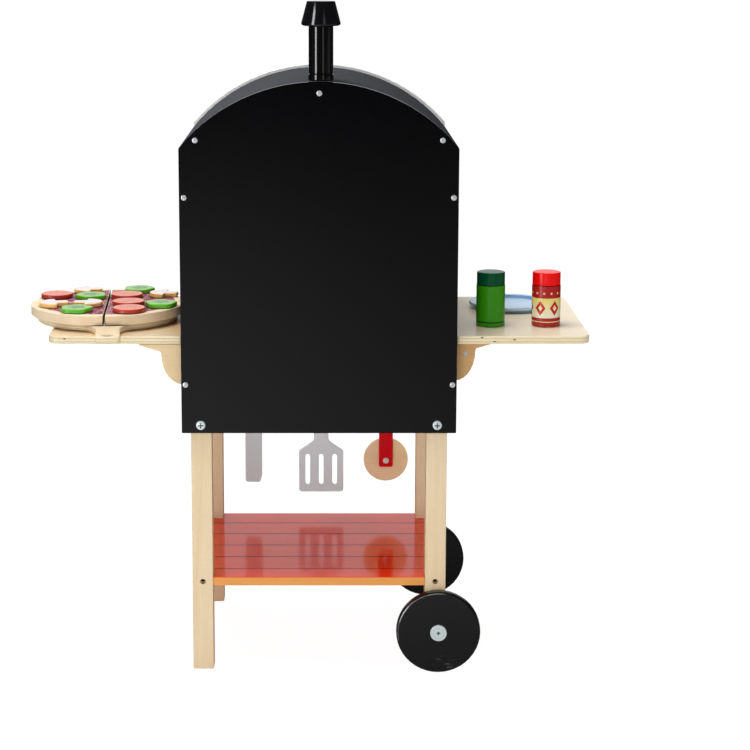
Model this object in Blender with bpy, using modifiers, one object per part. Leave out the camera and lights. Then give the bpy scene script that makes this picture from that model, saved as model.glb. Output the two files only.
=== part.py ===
"""Toy pizza oven on legs, with side tables, utensils, a sliced pizza, a plate and two shakers.

Everything is in metres with +Z up. The oven is laid out in its own plan: X = 0 is its middle
plane, Y = 0 the outer face of its back panel, with its front towards +Y, and Z = 0 the floor.
One empty carries the whole toy and centres it over the origin.
"""

import math

import bmesh
import bpy
from mathutils import Matrix, Vector

# Clearances
SEAT_GAP = 0.0003           # between pieces that rest on or meet each other
BORE_GAP = 0.0003           # round a shank in its hole
OVERRUN = 0.002             # how far a cutter runs past the faces that it cuts
MERGE_DISTANCE = 0.00001    # points nearer than this are one point

# Oven body
BODY_WIDTH = 0.4052
BODY_BOTTOM_HEIGHT = 0.3688
SHOULDER_HEIGHT = 0.7903
APEX_HEIGHT = 0.8862
BACK_PANEL_THICKNESS = 0.009
FRONT_PANEL_THICKNESS = 0.015
SIDE_PANEL_THICKNESS = 0.0125
ROOF_THICKNESS = 0.003
FRONT_RIM = 0.005           # the front panel's arch stands this far above the roof
PANEL_EDGE_ROUND = 0.001
BATTEN_DEPTH = 0.020
BATTEN_WIDTH = 0.024
SHOULDER_BATTEN_GAP = 0.002 # between a shoulder batten's outer edge and its side panel
BATTEN_EDGE_ROUND = 0.001
FLOOR_THICKNESS = 0.009

# Oven mouth in the front panel
MOUTH_WIDTH = 0.270
MOUTH_SILL = 0.004          # sill of the mouth above the oven floor
MOUTH_SIDE_HEIGHT = 0.120
MOUTH_RISE = 0.105

# Legs and shelf
LEG_WIDTH = 0.0308
LEG_EDGE_ROUND = 0.0015
FRAME_DEPTH = 0.3405        # rear face of the rear legs to front face of the front legs
WHEEL_LEG_LIFT = 0.035      # the legs on the wheels end this far above the floor
SHELF_HEIGHT = 0.1440       # top face
SHELF_THICKNESS = 0.013
SHELF_EDGE_INSET = 0.001    # behind the outer faces of the legs
SHELF_EDGE_ROUND = 0.0012
PLANK_WIDTH = 0.060
PLANK_GROOVE_COUNT = 5
PLANK_GROOVE_SHIFT = -0.008 # the middle groove lies this far behind the middle of the shelf
PLANK_GROOVE_WIDTH = 0.0016
PLANK_GROOVE_DEPTH = 0.0012
SCREW_RECESS_RADIUS = 0.00425
SCREW_RECESS_DEPTH = 0.010

# Side tables
TABLE_HEIGHT = 0.5118       # top face
TABLE_WIDTH = 0.1970
TABLE_THICKNESS = 0.012
TABLE_REAR_INSET = 0.0160   # rear edge in front of the back panel's outer face
TABLE_FRONT_INSET = 0.0031  # front edge behind the front panel's inner face
TABLE_CORNER_RADIUS = 0.0170
TABLE_INNER_CORNER_RADIUS = 0.003
TABLE_EDGE_ROUND = 0.0015
CLEAT_WIDTH = 0.029
CLEAT_HEIGHT = 0.030
CLEAT_EDGE_ROUND = 0.001
BRACKET_THICKNESS = 0.012
BRACKET_ARM = 0.0627
BRACKET_TIP = 0.0022
BRACKET_ROOT = 0.0120       # depth of the arm where it meets the lobe
BRACKET_FILLET = 0.004
BRACKET_LOBE_WIDTH = 0.0298
BRACKET_LOBE_TOP = 0.0150
BRACKET_DROP = 0.0605
BRACKET_EDGE_ROUND = 0.0012
LEFT_BRACKET_INSET = 0.002  # rear bracket in front of the table's rear edge
RIGHT_BRACKET_INSET = 0.0260

# Chimney
CHIMNEY_X = 0.003
CHIMNEY_Y = 0.035
CHIMNEY_RADIUS = 0.0179
CHIMNEY_COLLAR_HEIGHT = 0.0093
CHIMNEY_COLLAR_RADIUS = 0.0185
CHIMNEY_GROOVE = 0.0010
CHIMNEY_HEIGHT = 0.1138     # above the ridge of the roof, with its cap
CAP_HEIGHT = 0.0356
CAP_BOTTOM_RADIUS = 0.0289
CAP_TOP_RADIUS = 0.0209
CAP_ROUND = 0.004
CAP_TOP_ROUND = 0.0015
DOWEL_RADIUS = 0.006
DOWEL_LENGTH = 0.014

# Wheels and bolts
WHEEL_RADIUS = 0.0632
WHEEL_THICKNESS = 0.0160
WHEEL_ROUND = 0.004
WHEEL_OUTSET = 0.0045       # axle outboard of the middle of its leg
WHEEL_LEG_GAP = 0.0008
AXLE_RADIUS = 0.004
AXLE_DEPTH_IN_LEG = 0.022
AXLE_HEAD_RADIUS = 0.0125
AXLE_HEAD_THICKNESS = 0.0030
AXLE_HEAD_ROUND = 0.0012
AXLE_HEAD_GAP = 0.0005
DRIVE_RADIUS = 0.0030
DRIVE_DEPTH = 0.0016
BOLT_RADIUS = 0.003
BOLT_HEAD_RADIUS = 0.0070
BOLT_HEAD_HEIGHT = 0.0030
BOLT_HEAD_ROUND = 0.0024
BOLT_LENGTH = 0.030
BOLT_ABOVE_EDGE = 0.0122    # above the back panel's lower edge

# Utensils and their pegs
PEG_RADIUS = 0.004
PEG_LENGTH = 0.025          # outside the panel
PEG_DEPTH_IN_PANEL = 0.010
PEG_ROUND = 0.0015
PEG_ABOVE_EDGE = 0.0227
KNIFE_PEG_X = -0.1099
SPATULA_PEG_X = 0.0028
CUTTER_PEG_X = 0.1109
UTENSIL_THICKNESS = 0.007
UTENSIL_PANEL_GAP = 0.0006
UTENSIL_HOLE_RADIUS = 0.005
UTENSIL_HEAD = 0.015        # wood above the middle of the hanging hole
UTENSIL_EDGE_ROUND = 0.0012
HANDLE_END_SHARE = 0.9      # radius of a handle's upper corners, as a share of its half width
KNIFE_WIDTH = 0.0281
KNIFE_LENGTH = 0.2140
KNIFE_HANDLE_WIDTH = 0.0240
KNIFE_HANDLE_LENGTH = 0.095
KNIFE_HEEL_SLANT = 0.003    # height over which the handle widens to the blade
KNIFE_TIP_RISE = 0.0122
KNIFE_TIP_RUN = 0.0035
KNIFE_CORNER_RADIUS = 0.005
KNIFE_TIP_RADIUS = 0.004
SPATULA_NECK_WIDTH = 0.0244
SPATULA_BLADE_WIDTH = 0.0743
SPATULA_LENGTH = 0.2305
SPATULA_BLADE_LENGTH = 0.0703
SPATULA_SHOULDER = 0.017    # height over which the blade narrows to the neck
SPATULA_NECK_FILLET = 0.008
SPATULA_SHOULDER_ROUND = 0.006
SPATULA_CORNER_RADIUS = 0.005
SPATULA_SLOT_WIDTH = 0.0078
SPATULA_SLOT_LENGTH = 0.0532
SPATULA_SLOT_PITCH = 0.0225
SPATULA_SLOT_END = 0.0118   # from the blade's lower edge to its slots
CUTTER_HANDLE_WIDTH = 0.0231
CUTTER_AXLE_DROP = 0.1617   # from its peg to the middle of its wheel
CUTTER_HANDLE_TAIL = 0.0113
CUTTER_CORNER_RADIUS = 0.003
CUTTER_WHEEL_RADIUS = 0.0373
CUTTER_WHEEL_THICKNESS = 0.006
CUTTER_WHEEL_ROUND = 0.0018
CUTTER_WHEEL_GAP = 0.0005
CUTTER_SCREW_RADIUS = 0.002
CUTTER_SCREW_HEAD_RADIUS = 0.0050
CUTTER_SCREW_HEAD_HEIGHT = 0.0018
CUTTER_SCREW_HEAD_ROUND = 0.0013

# Peel and pizza
PIZZA_OUT = 0.1228          # middle of the pizza from the side of the oven
PIZZA_Y = 0.156
PIZZA_RADIUS = 0.1168
PIZZA_THICKNESS = 0.0152
PIZZA_ROUND = 0.001
PIZZA_TURN_DEG = 3.2
PIZZA_CUT_WIDTH = 0.003
SLICE_COUNT = 4
PEEL_RADIUS = 0.1067
PEEL_THICKNESS = 0.010
PEEL_REACH = 0.1995         # from the middle of its blade to the end of its handle
PEEL_HANDLE_WIDTH = 0.0363
PEEL_FILLET_RADIUS = 0.040
PEEL_END_RADIUS = 0.006
PEEL_HOLE_RADIUS = 0.0086
PEEL_HOLE_INSET = 0.0145    # from the end of the handle to the middle of its hole
PEEL_EDGE_ROUND = 0.0015
PEEL_TURN_DEG = 5.9

# Toppings: each place is (across, along) in the pizza's own plan, with its turn in degrees
TOPPING_THICKNESS = 0.0065
TOPPING_ROUND = 0.0010
TOMATO_RADIUS = 0.0245
PEPPER_RADIUS = 0.0232
PEPPER_LOBE_COUNT = 5
PEPPER_LOBE = 0.0016
MUSHROOM_CAP_WIDTH = 0.0470
MUSHROOM_CAP_HEIGHT = 0.0250
MUSHROOM_STEM_WIDTH = 0.0190
MUSHROOM_STEM_LENGTH = 0.0190
MUSHROOM_FILLET = 0.0030
TOPPING_PLACES = {
    "tomato": ((0.036, -0.082, 0), (0.033, -0.026, 0), (0.028, 0.036, 0), (-0.081, 0.046, 0)),
    "pepper": ((0.083, -0.041, 15), (0.045, 0.088, 0), (-0.027, 0.033, 40), (-0.043, -0.077, 5)),
    "mushroom": ((0.085, 0.047, 80), (-0.035, 0.086, 95), (-0.080, -0.030, 100), (-0.028, -0.029, 265)),
}

# Plate and shakers on the right table
PLATE_OUT = 0.1014          # middle of the plate from the side of the oven
PLATE_Y = 0.2520
PLATE_RADIUS = 0.0658
PLATE_FOOT_RADIUS = 0.0560
PLATE_HEIGHT = 0.010
PLATE_RIM_WIDTH = 0.0120
PLATE_RECESS = 0.0040
PLATE_WALL_RUN = 0.0050
PLATE_ROUND = 0.0015
SHAKER_Y = 0.1020
GREEN_SHAKER_OUT = 0.0567
RED_SHAKER_OUT = 0.1406
SHAKER_RADIUS = 0.0217
SHAKER_BODY_HEIGHT = 0.0624
SHAKER_LID_HEIGHT = 0.0195
SHAKER_LID_RADIUS = 0.0212
SHAKER_ROUND = 0.0015
SHAKER_RING_HEIGHT = 0.0070
SHAKER_RING_DEPTH = 0.0006
SHAKER_SPIGOT_RADIUS = 0.0130
SHAKER_SPIGOT_HEIGHT = 0.0060

# Fineness of round work
TURN_STEPS = 28
WHEEL_STEPS = 44
TOPPING_STEPS = 24
SMALL_TURN_STEPS = 16
ARCH_STEPS = 28
CORNER_STEPS = 4
ROUND_STEPS = 2
FINE_ROUND_STEPS = 3
FLAT_ANGLE = math.radians(0.1)
SHARP_ANGLE = math.radians(35)
BEVEL_ANGLE = math.radians(40)

# Colours, with roughness and metallic value
FINISHES = {
    "black_lacquer": ((0.012, 0.012, 0.013), 0.32, 0.0),
    "black_gloss": ((0.010, 0.010, 0.011), 0.14, 0.0),
    "roof_grey": ((0.050, 0.051, 0.055), 0.45, 0.0),
    "white_lacquer": ((0.80, 0.80, 0.78), 0.35, 0.0),
    "beech": ((0.76, 0.57, 0.36), 0.50, 0.0),
    "birch_ply": ((0.78, 0.64, 0.45), 0.50, 0.0),
    "shelf_red": ((0.62, 0.06, 0.02), 0.12, 0.0),
    "grey_paint": ((0.38, 0.38, 0.41), 0.40, 0.0),
    "red_paint": ((0.60, 0.01, 0.02), 0.35, 0.0),
    "zinc": ((0.70, 0.71, 0.72), 0.30, 1.0),
    "pizza_wood": ((0.80, 0.62, 0.38), 0.50, 0.0),
    "tomato_red": ((0.75, 0.08, 0.04), 0.45, 0.0),
    "pepper_green": ((0.16, 0.45, 0.06), 0.45, 0.0),
    "mushroom_white": ((0.80, 0.66, 0.50), 0.45, 0.0),
    "plate_blue": ((0.38, 0.55, 0.75), 0.35, 0.0),
    "shaker_green": ((0.03, 0.19, 0.01), 0.35, 0.0),
    "lid_green": ((0.00, 0.09, 0.04), 0.30, 0.0),
    "shaker_red": ((0.45, 0.01, 0.01), 0.35, 0.0),
    "lid_red": ((0.75, 0.01, 0.01), 0.30, 0.0),
}

# Places that follow from the sizes above
HALF_WIDTH = BODY_WIDTH / 2
SIDE_INNER_X = HALF_WIDTH - SIDE_PANEL_THICKNESS
LEG_X = SIDE_INNER_X - SEAT_GAP - LEG_WIDTH / 2
FRAME_Y0 = BACK_PANEL_THICKNESS + SEAT_GAP
FRAME_Y1 = FRAME_Y0 + FRAME_DEPTH
FRAME_MIDDLE_Y = (FRAME_Y0 + FRAME_Y1) / 2
FRONT_Y0 = FRAME_Y1 + SEAT_GAP
FRONT_Y1 = FRONT_Y0 + FRONT_PANEL_THICKNESS
REAR_LEG_Y = FRAME_Y0 + LEG_WIDTH / 2
FRONT_LEG_Y = FRAME_Y1 - LEG_WIDTH / 2
ARCH_RISE = APEX_HEIGHT - SHOULDER_HEIGHT
CHIMNEY_TOP_HEIGHT = APEX_HEIGHT + CHIMNEY_HEIGHT
ARCH_RADIUS = (HALF_WIDTH ** 2 + ARCH_RISE ** 2) / (2 * ARCH_RISE)
ARCH_CENTRE_Z = APEX_HEIGHT - ARCH_RADIUS
LEG_TOP_HEIGHT = TABLE_HEIGHT - FLOOR_THICKNESS - SEAT_GAP
TABLE_INNER_X = HALF_WIDTH + SEAT_GAP
TABLE_UNDERSIDE = TABLE_HEIGHT - TABLE_THICKNESS
TABLE_FRONT_Y = FRONT_Y0 - TABLE_FRONT_INSET
TABLE_DEPTH = TABLE_FRONT_Y - TABLE_REAR_INSET
WHEEL_X = LEG_X + WHEEL_OUTSET
BOLT_HEIGHT = BODY_BOTTOM_HEIGHT + BOLT_ABOVE_EDGE
PEG_HEIGHT = BODY_BOTTOM_HEIGHT + PEG_ABOVE_EDGE
UTENSIL_Y = FRONT_Y1 + UTENSIL_PANEL_GAP + UTENSIL_THICKNESS / 2
PIZZA_X = -(HALF_WIDTH + PIZZA_OUT)
PEEL_TOP = TABLE_HEIGHT + SEAT_GAP + PEEL_THICKNESS
PIZZA_TOP = PEEL_TOP + SEAT_GAP + PIZZA_THICKNESS

# Middle of the whole toy in plan, from its four outermost pieces
LEFTMOST_X = PIZZA_X - PIZZA_RADIUS
RIGHTMOST_X = TABLE_INNER_X + TABLE_WIDTH
PEEL_CORNER = Vector((PEEL_HANDLE_WIDTH / 2 - PEEL_END_RADIUS, PEEL_END_RADIUS - PEEL_REACH))
PEEL_TURN = Matrix.Rotation(math.radians(PEEL_TURN_DEG), 2)
REARMOST_Y = PIZZA_Y + min(
    (PEEL_TURN @ PEEL_CORNER).y, (PEEL_TURN @ Vector((-PEEL_CORNER.x, PEEL_CORNER.y))).y
) - PEEL_END_RADIUS
FOREMOST_Y = FRONT_Y1 + PEG_LENGTH
MIDDLE_X = (LEFTMOST_X + RIGHTMOST_X) / 2
MIDDLE_Y = (REARMOST_Y + FOREMOST_Y) / 2


def clear_scene():
    """Start from an empty file."""
    for thing in list(bpy.data.objects):
        bpy.data.objects.remove(thing, do_unlink=True)


def new_collection(name):
    group = bpy.data.collections.new(name)
    bpy.context.scene.collection.children.link(group)
    return group


def finish(name):
    """The Principled material of a named finish, made once."""
    found = bpy.data.materials.get(name)
    if found:
        return found
    colour, roughness, metallic = FINISHES[name]
    material = bpy.data.materials.new(name)
    material.use_nodes = True
    shader = material.node_tree.nodes["Principled BSDF"]
    shader.inputs["Base Color"].default_value = (*colour, 1)
    shader.inputs["Roughness"].default_value = roughness
    shader.inputs["Metallic"].default_value = metallic
    material.diffuse_color = (*colour, 1)
    return material


def add_piece(name, mesh, finish_name, place, turn_deg=0):
    """Put a mesh into the toy as a named piece, with its origin at place in the oven's plan."""
    piece = bpy.data.objects.new(name, mesh)
    PIECES.objects.link(piece)
    piece.parent = TOY
    piece.location = place
    piece.rotation_euler.z = math.radians(turn_deg)
    mesh.materials.clear()
    mesh.materials.append(finish(finish_name))
    mesh.shade_smooth()
    mesh.set_sharp_from_angle(angle=SHARP_ANGLE)
    return piece


def add_bevel(piece, width, steps=1):
    bevel = piece.modifiers.new("rounded edges", "BEVEL")
    bevel.width = width
    bevel.segments = steps
    bevel.limit_method = "ANGLE"
    bevel.angle_limit = BEVEL_ANGLE
    bevel.loop_slide = False
    bevel.use_clamp_overlap = False
    return bevel


def add_cut(piece, cutter):
    """Cut a piece with a cutter object, which stays in the file as a wire guide."""
    cut = piece.modifiers.new("cut by " + cutter.name, "BOOLEAN")
    cut.operation = "DIFFERENCE"
    cut.solver = "EXACT"
    cut.object = cutter
    return cut


def add_cutter(name, mesh, place):
    cutter = bpy.data.objects.new(name, mesh)
    CUTTERS.objects.link(cutter)
    cutter.parent = TOY
    cutter.location = place
    cutter.hide_render = True
    cutter.display_type = "WIRE"
    return cutter


def box_mesh(name, size):
    """A box of the given sides, centred on its origin."""
    shape = bmesh.new()
    bmesh.ops.create_cube(shape, size=1)
    bmesh.ops.scale(shape, vec=Vector(size), verts=shape.verts)
    mesh = bpy.data.meshes.new(name)
    shape.to_mesh(mesh)
    shape.free()
    return mesh


def rod_mesh(name, radius, length, along="Y", steps=SMALL_TURN_STEPS):
    """A cylinder centred on its origin, along Y or Z."""
    shape = bmesh.new()
    turn = Matrix.Rotation(math.radians(90), 4, "X") if along == "Y" else Matrix.Identity(4)
    bmesh.ops.create_cone(
        shape, cap_ends=True, segments=steps, radius1=radius, radius2=radius, depth=length, matrix=turn
    )
    mesh = bpy.data.meshes.new(name)
    shape.to_mesh(mesh)
    shape.free()
    return mesh


def arc(centre, radius, start_deg, end_deg, steps):
    """Points along an arc, both ends included."""
    turns = [math.radians(start_deg + (end_deg - start_deg) * k / steps) for k in range(steps + 1)]
    return [(centre[0] + radius * math.cos(t), centre[1] + radius * math.sin(t)) for t in turns]


def rounded(corners, steps=CORNER_STEPS):
    """A closed outline through corners (across, up, radius), each turned with its own radius."""
    points = []
    count = len(corners)
    for index, (across, up, radius) in enumerate(corners):
        here = Vector((across, up))
        if radius == 0:
            points.append(tuple(here))
            continue
        before = Vector(corners[index - 1][:2]) - here
        after = Vector(corners[(index + 1) % count][:2]) - here
        before.normalize()
        after.normalize()
        half = before.angle(after) / 2
        reach = radius / math.tan(half)
        centre = here + (before + after).normalized() * (radius / math.sin(half))
        start = here + before * reach - centre
        end = here + after * reach - centre
        sweep = start.angle_signed(end)
        first = math.atan2(start.y, start.x)
        for k in range(steps + 1):
            turn = first - sweep * k / steps
            points.append((centre.x + radius * math.cos(turn), centre.y + radius * math.sin(turn)))
    return points


def board_mesh(name, outline, thickness, facing="Y", holes=()):
    """A flat board: a filled outline with holes, extruded half its thickness each way.

    A board facing Y has its outline in X and Z, one facing Z in X and Y, one facing X in Y and Z.
    """
    curve = bpy.data.curves.new(name, "CURVE")
    curve.dimensions = "2D"
    curve.fill_mode = "BOTH"
    curve.extrude = thickness / 2
    for loop in (outline, *holes):
        spline = curve.splines.new("POLY")
        spline.points.add(len(loop) - 1)
        for point, (across, up) in zip(spline.points, loop):
            point.co = (across, up, 0, 1)
        spline.use_cyclic_u = True
    guide = bpy.data.objects.new(name, curve)
    PIECES.objects.link(guide)
    seen = guide.evaluated_get(bpy.context.evaluated_depsgraph_get())
    mesh = bpy.data.meshes.new_from_object(seen)
    bpy.data.objects.remove(guide, do_unlink=True)
    bpy.data.curves.remove(curve)
    shape = bmesh.new()
    shape.from_mesh(mesh)
    bmesh.ops.remove_doubles(shape, verts=shape.verts, dist=MERGE_DISTANCE)
    bmesh.ops.dissolve_limit(
        shape, angle_limit=FLAT_ANGLE, verts=[], edges=shape.edges, delimit={"NORMAL"}
    )
    if facing != "Z":
        bmesh.ops.rotate(shape, matrix=Matrix.Rotation(math.radians(90), 3, "X"), verts=shape.verts)
    if facing == "X":
        bmesh.ops.rotate(shape, matrix=Matrix.Rotation(math.radians(90), 3, "Z"), verts=shape.verts)
    bmesh.ops.recalc_face_normals(shape, faces=shape.faces)
    if shape.calc_volume(signed=True) < 0:
        bmesh.ops.reverse_faces(shape, faces=shape.faces)
    shape.to_mesh(mesh)
    shape.free()
    mesh.name = name
    return mesh


def turned_mesh(name, profile, along="Z", steps=TURN_STEPS):
    """A turned shape from a profile of (radius, height) that runs down its outer side.

    A profile that starts and ends on the axis is left open there; any other one is closed,
    which leaves a bore. Along Y, the profile's top faces -Y.
    """
    shape = bmesh.new()
    knots = [shape.verts.new((radius, 0, height)) for radius, height in profile]
    for first, second in zip(knots, knots[1:]):
        shape.edges.new((first, second))
    if profile[0][0] > 0:
        shape.edges.new((knots[-1], knots[0]))
    line = bpy.data.meshes.new(name)
    shape.to_mesh(line)
    shape.free()
    guide = bpy.data.objects.new(name, line)
    PIECES.objects.link(guide)
    screw = guide.modifiers.new("turned", "SCREW")
    screw.steps = steps
    screw.render_steps = steps
    screw.use_merge_vertices = True
    screw.merge_threshold = MERGE_DISTANCE
    seen = guide.evaluated_get(bpy.context.evaluated_depsgraph_get())
    mesh = bpy.data.meshes.new_from_object(seen)
    bpy.data.objects.remove(guide, do_unlink=True)
    bpy.data.meshes.remove(line)
    if along == "Y":
        mesh.transform(Matrix.Rotation(math.radians(90), 4, "X"))
    mesh.name = name
    return mesh


def edge_round(radius, height, size, upper, steps=ROUND_STEPS):
    """Profile points of a rounded edge at an outer corner, listed downwards."""
    if upper:
        return arc((radius - size, height - size), size, 90, 0, steps)
    return arc((radius - size, height + size), size, 0, -90, steps)


def arch_outline(half_width, radius):
    """An arched panel: straight sides up to a segmental arch about the roof's own centre."""
    half_angle = math.degrees(math.asin(half_width / radius))
    crown = arc((0, ARCH_CENTRE_Z), radius, 90 - half_angle, 90 + half_angle, ARCH_STEPS)
    return [(-half_width, BODY_BOTTOM_HEIGHT), (half_width, BODY_BOTTOM_HEIGHT), *crown]


def make_back_panel():
    mesh = board_mesh("back_panel", arch_outline(HALF_WIDTH, ARCH_RADIUS), BACK_PANEL_THICKNESS)
    panel = add_piece("back_panel", mesh, "black_lacquer", (0, BACK_PANEL_THICKNESS / 2, 0))
    add_bevel(panel, PANEL_EDGE_ROUND)
    hole = rod_mesh("panel_bolt_hole", BOLT_RADIUS + BORE_GAP, BACK_PANEL_THICKNESS + 2 * OVERRUN)
    for side in (-1, 1):
        place = (side * LEG_X, BACK_PANEL_THICKNESS / 2, BOLT_HEIGHT)
        add_cut(panel, add_cutter("panel_bolt_hole", hole, place))


def mouth_outline():
    """The oven's mouth: a sill, two upright sides and a half ellipse above them."""
    half = MOUTH_WIDTH / 2
    sill = TABLE_HEIGHT + MOUTH_SILL
    spring = sill + MOUTH_SIDE_HEIGHT
    turns = [math.pi * k / ARCH_STEPS for k in range(ARCH_STEPS + 1)]
    crown = [(half * math.cos(t), spring + MOUTH_RISE * math.sin(t)) for t in turns]
    return [(-half, sill), (half, sill), *crown]


def make_front_panel():
    outline = arch_outline(HALF_WIDTH, ARCH_RADIUS + FRONT_RIM)
    mesh = board_mesh("front_panel", outline, FRONT_PANEL_THICKNESS)
    middle = (FRONT_Y0 + FRONT_Y1) / 2
    panel = add_piece("front_panel", mesh, "white_lacquer", (0, middle, 0))
    mouth = board_mesh("oven_mouth", mouth_outline(), FRONT_PANEL_THICKNESS + 2 * OVERRUN)
    add_cut(panel, add_cutter("oven_mouth", mouth, (0, middle, 0)))
    add_bevel(panel, PANEL_EDGE_ROUND)
    depth = PEG_DEPTH_IN_PANEL + SEAT_GAP + OVERRUN
    hole = rod_mesh("peg_hole", PEG_RADIUS + BORE_GAP, depth)
    hole_y = FRONT_Y1 + OVERRUN - depth / 2
    for x in (KNIFE_PEG_X, SPATULA_PEG_X, CUTTER_PEG_X):
        add_cut(panel, add_cutter("peg_hole", hole, (x, hole_y, PEG_HEIGHT)))


def make_side_panels():
    """Side panels whose top edges are planed to the underside of the roof."""
    inside = ARCH_RADIUS - ROOF_THICKNESS - SEAT_GAP
    outer_top = ARCH_CENTRE_Z + math.sqrt(inside ** 2 - HALF_WIDTH ** 2)
    inner_top = ARCH_CENTRE_Z + math.sqrt(inside ** 2 - SIDE_INNER_X ** 2)
    for side, name in ((-1, "left_side_panel"), (1, "right_side_panel")):
        outline = [
            (side * SIDE_INNER_X, BODY_BOTTOM_HEIGHT),
            (side * HALF_WIDTH, BODY_BOTTOM_HEIGHT),
            (side * HALF_WIDTH, outer_top),
            (side * SIDE_INNER_X, inner_top),
        ]
        mesh = board_mesh(name, outline, FRAME_DEPTH)
        add_piece(name, mesh, "black_lacquer", (0, FRAME_MIDDLE_Y, 0))


def make_roof():
    """The bent roof sheet between the two end panels, with a hole for the chimney's dowel."""
    half_angle = math.degrees(math.asin(HALF_WIDTH / ARCH_RADIUS))
    inside = ARCH_RADIUS - ROOF_THICKNESS
    inner_angle = math.degrees(math.asin(HALF_WIDTH / inside))
    outer = arc((0, ARCH_CENTRE_Z), ARCH_RADIUS, 90 - half_angle, 90 + half_angle, ARCH_STEPS)
    inner = arc((0, ARCH_CENTRE_Z), inside, 90 + inner_angle, 90 - inner_angle, ARCH_STEPS)
    mesh = board_mesh("roof_sheet", [*outer, *inner], FRAME_DEPTH)
    sheet = add_piece("roof_sheet", mesh, "roof_grey", (0, FRAME_MIDDLE_Y, 0))
    hole = rod_mesh("dowel_hole", DOWEL_RADIUS + BORE_GAP, 2 * DOWEL_LENGTH, along="Z")
    add_cut(sheet, add_cutter("dowel_hole", hole, (CHIMNEY_X, CHIMNEY_Y, APEX_HEIGHT)))


def make_battens():
    """Three battens under the roof, one at the ridge and one near each shoulder."""
    half = BATTEN_WIDTH / 2
    inside = ARCH_RADIUS - ROOF_THICKNESS
    # The flat upper face is set down until its two long edges clear the curved sheet.
    top = math.sqrt((inside - SEAT_GAP) ** 2 - half ** 2)
    outline = [(-half, top - BATTEN_DEPTH), (half, top - BATTEN_DEPTH), (half, top), (-half, top)]
    # A shoulder batten leans until its upper outer edge comes near the side panel.
    reach = (SIDE_INNER_X - SHOULDER_BATTEN_GAP) / math.hypot(half, top)
    shoulder_lean = math.degrees(math.asin(reach) - math.atan2(half, top))
    names = {
        "ridge_batten": 0,
        "left_shoulder_batten": shoulder_lean,
        "right_shoulder_batten": -shoulder_lean,
    }
    for name, lean in names.items():
        mesh = board_mesh(name, outline, FRAME_DEPTH)
        mesh.transform(Matrix.Rotation(math.radians(-lean), 4, "Y"))
        batten = add_piece(name, mesh, "beech", (0, FRAME_MIDDLE_Y, ARCH_CENTRE_Z))
        add_bevel(batten, BATTEN_EDGE_ROUND)
        if lean == 0:
            depth = 2 * (DOWEL_LENGTH + SEAT_GAP)
            hole = rod_mesh("batten_dowel_hole", DOWEL_RADIUS + BORE_GAP, depth, along="Z")
            hole_place = (CHIMNEY_X, CHIMNEY_Y, APEX_HEIGHT)
            add_cut(batten, add_cutter("batten_dowel_hole", hole, hole_place))


def make_oven_floor():
    """The board that the oven's cavity stands on, level with the side tables."""
    width = 2 * (SIDE_INNER_X - SEAT_GAP)
    mesh = box_mesh("oven_floor", (width, FRAME_DEPTH, FLOOR_THICKNESS))
    place = (0, FRAME_MIDDLE_Y, TABLE_HEIGHT - FLOOR_THICKNESS / 2)
    add_piece("oven_floor", mesh, "birch_ply", place)


def make_legs():
    """Four square legs that run up inside the body and carry the oven floor."""
    shelf_screw_height = SHELF_HEIGHT - SHELF_THICKNESS / 2
    recess_depth = SCREW_RECESS_DEPTH + OVERRUN
    recess = rod_mesh("shelf_screw_recess", SCREW_RECESS_RADIUS, recess_depth)
    bolt_depth = BOLT_LENGTH - BACK_PANEL_THICKNESS + SEAT_GAP + OVERRUN
    bolt_hole = rod_mesh("leg_bolt_hole", BOLT_RADIUS + BORE_GAP, bolt_depth)
    axle_depth = AXLE_DEPTH_IN_LEG + SEAT_GAP + OVERRUN
    axle_hole = rod_mesh("axle_hole", AXLE_RADIUS + BORE_GAP, axle_depth)
    for end, y, outward in (("rear", REAR_LEG_Y, -1), ("front", FRONT_LEG_Y, 1)):
        outer_y = y + outward * LEG_WIDTH / 2
        for side, name in ((-1, "left"), (1, "right")):
            foot = WHEEL_LEG_LIFT if side > 0 else 0
            length = LEG_TOP_HEIGHT - foot
            leg_name = f"{end}_{name}_leg"
            mesh = box_mesh(leg_name, (LEG_WIDTH, LEG_WIDTH, length))
            leg = add_piece(leg_name, mesh, "beech", (side * LEG_X, y, foot + length / 2))
            add_bevel(leg, LEG_EDGE_ROUND, ROUND_STEPS)
            recess_y = outer_y + outward * (OVERRUN - recess_depth / 2)
            recess_place = (side * LEG_X, recess_y, shelf_screw_height)
            add_cut(leg, add_cutter("shelf_screw_recess", recess, recess_place))
            if end == "rear":
                bolt_y = outer_y + outward * (OVERRUN - bolt_depth / 2)
                add_cut(leg, add_cutter("leg_bolt_hole", bolt_hole, (side * LEG_X, bolt_y, BOLT_HEIGHT)))
            if side > 0:
                axle_y = outer_y + outward * (OVERRUN - axle_depth / 2)
                add_cut(leg, add_cutter("axle_hole", axle_hole, (WHEEL_X, axle_y, WHEEL_RADIUS)))


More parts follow.
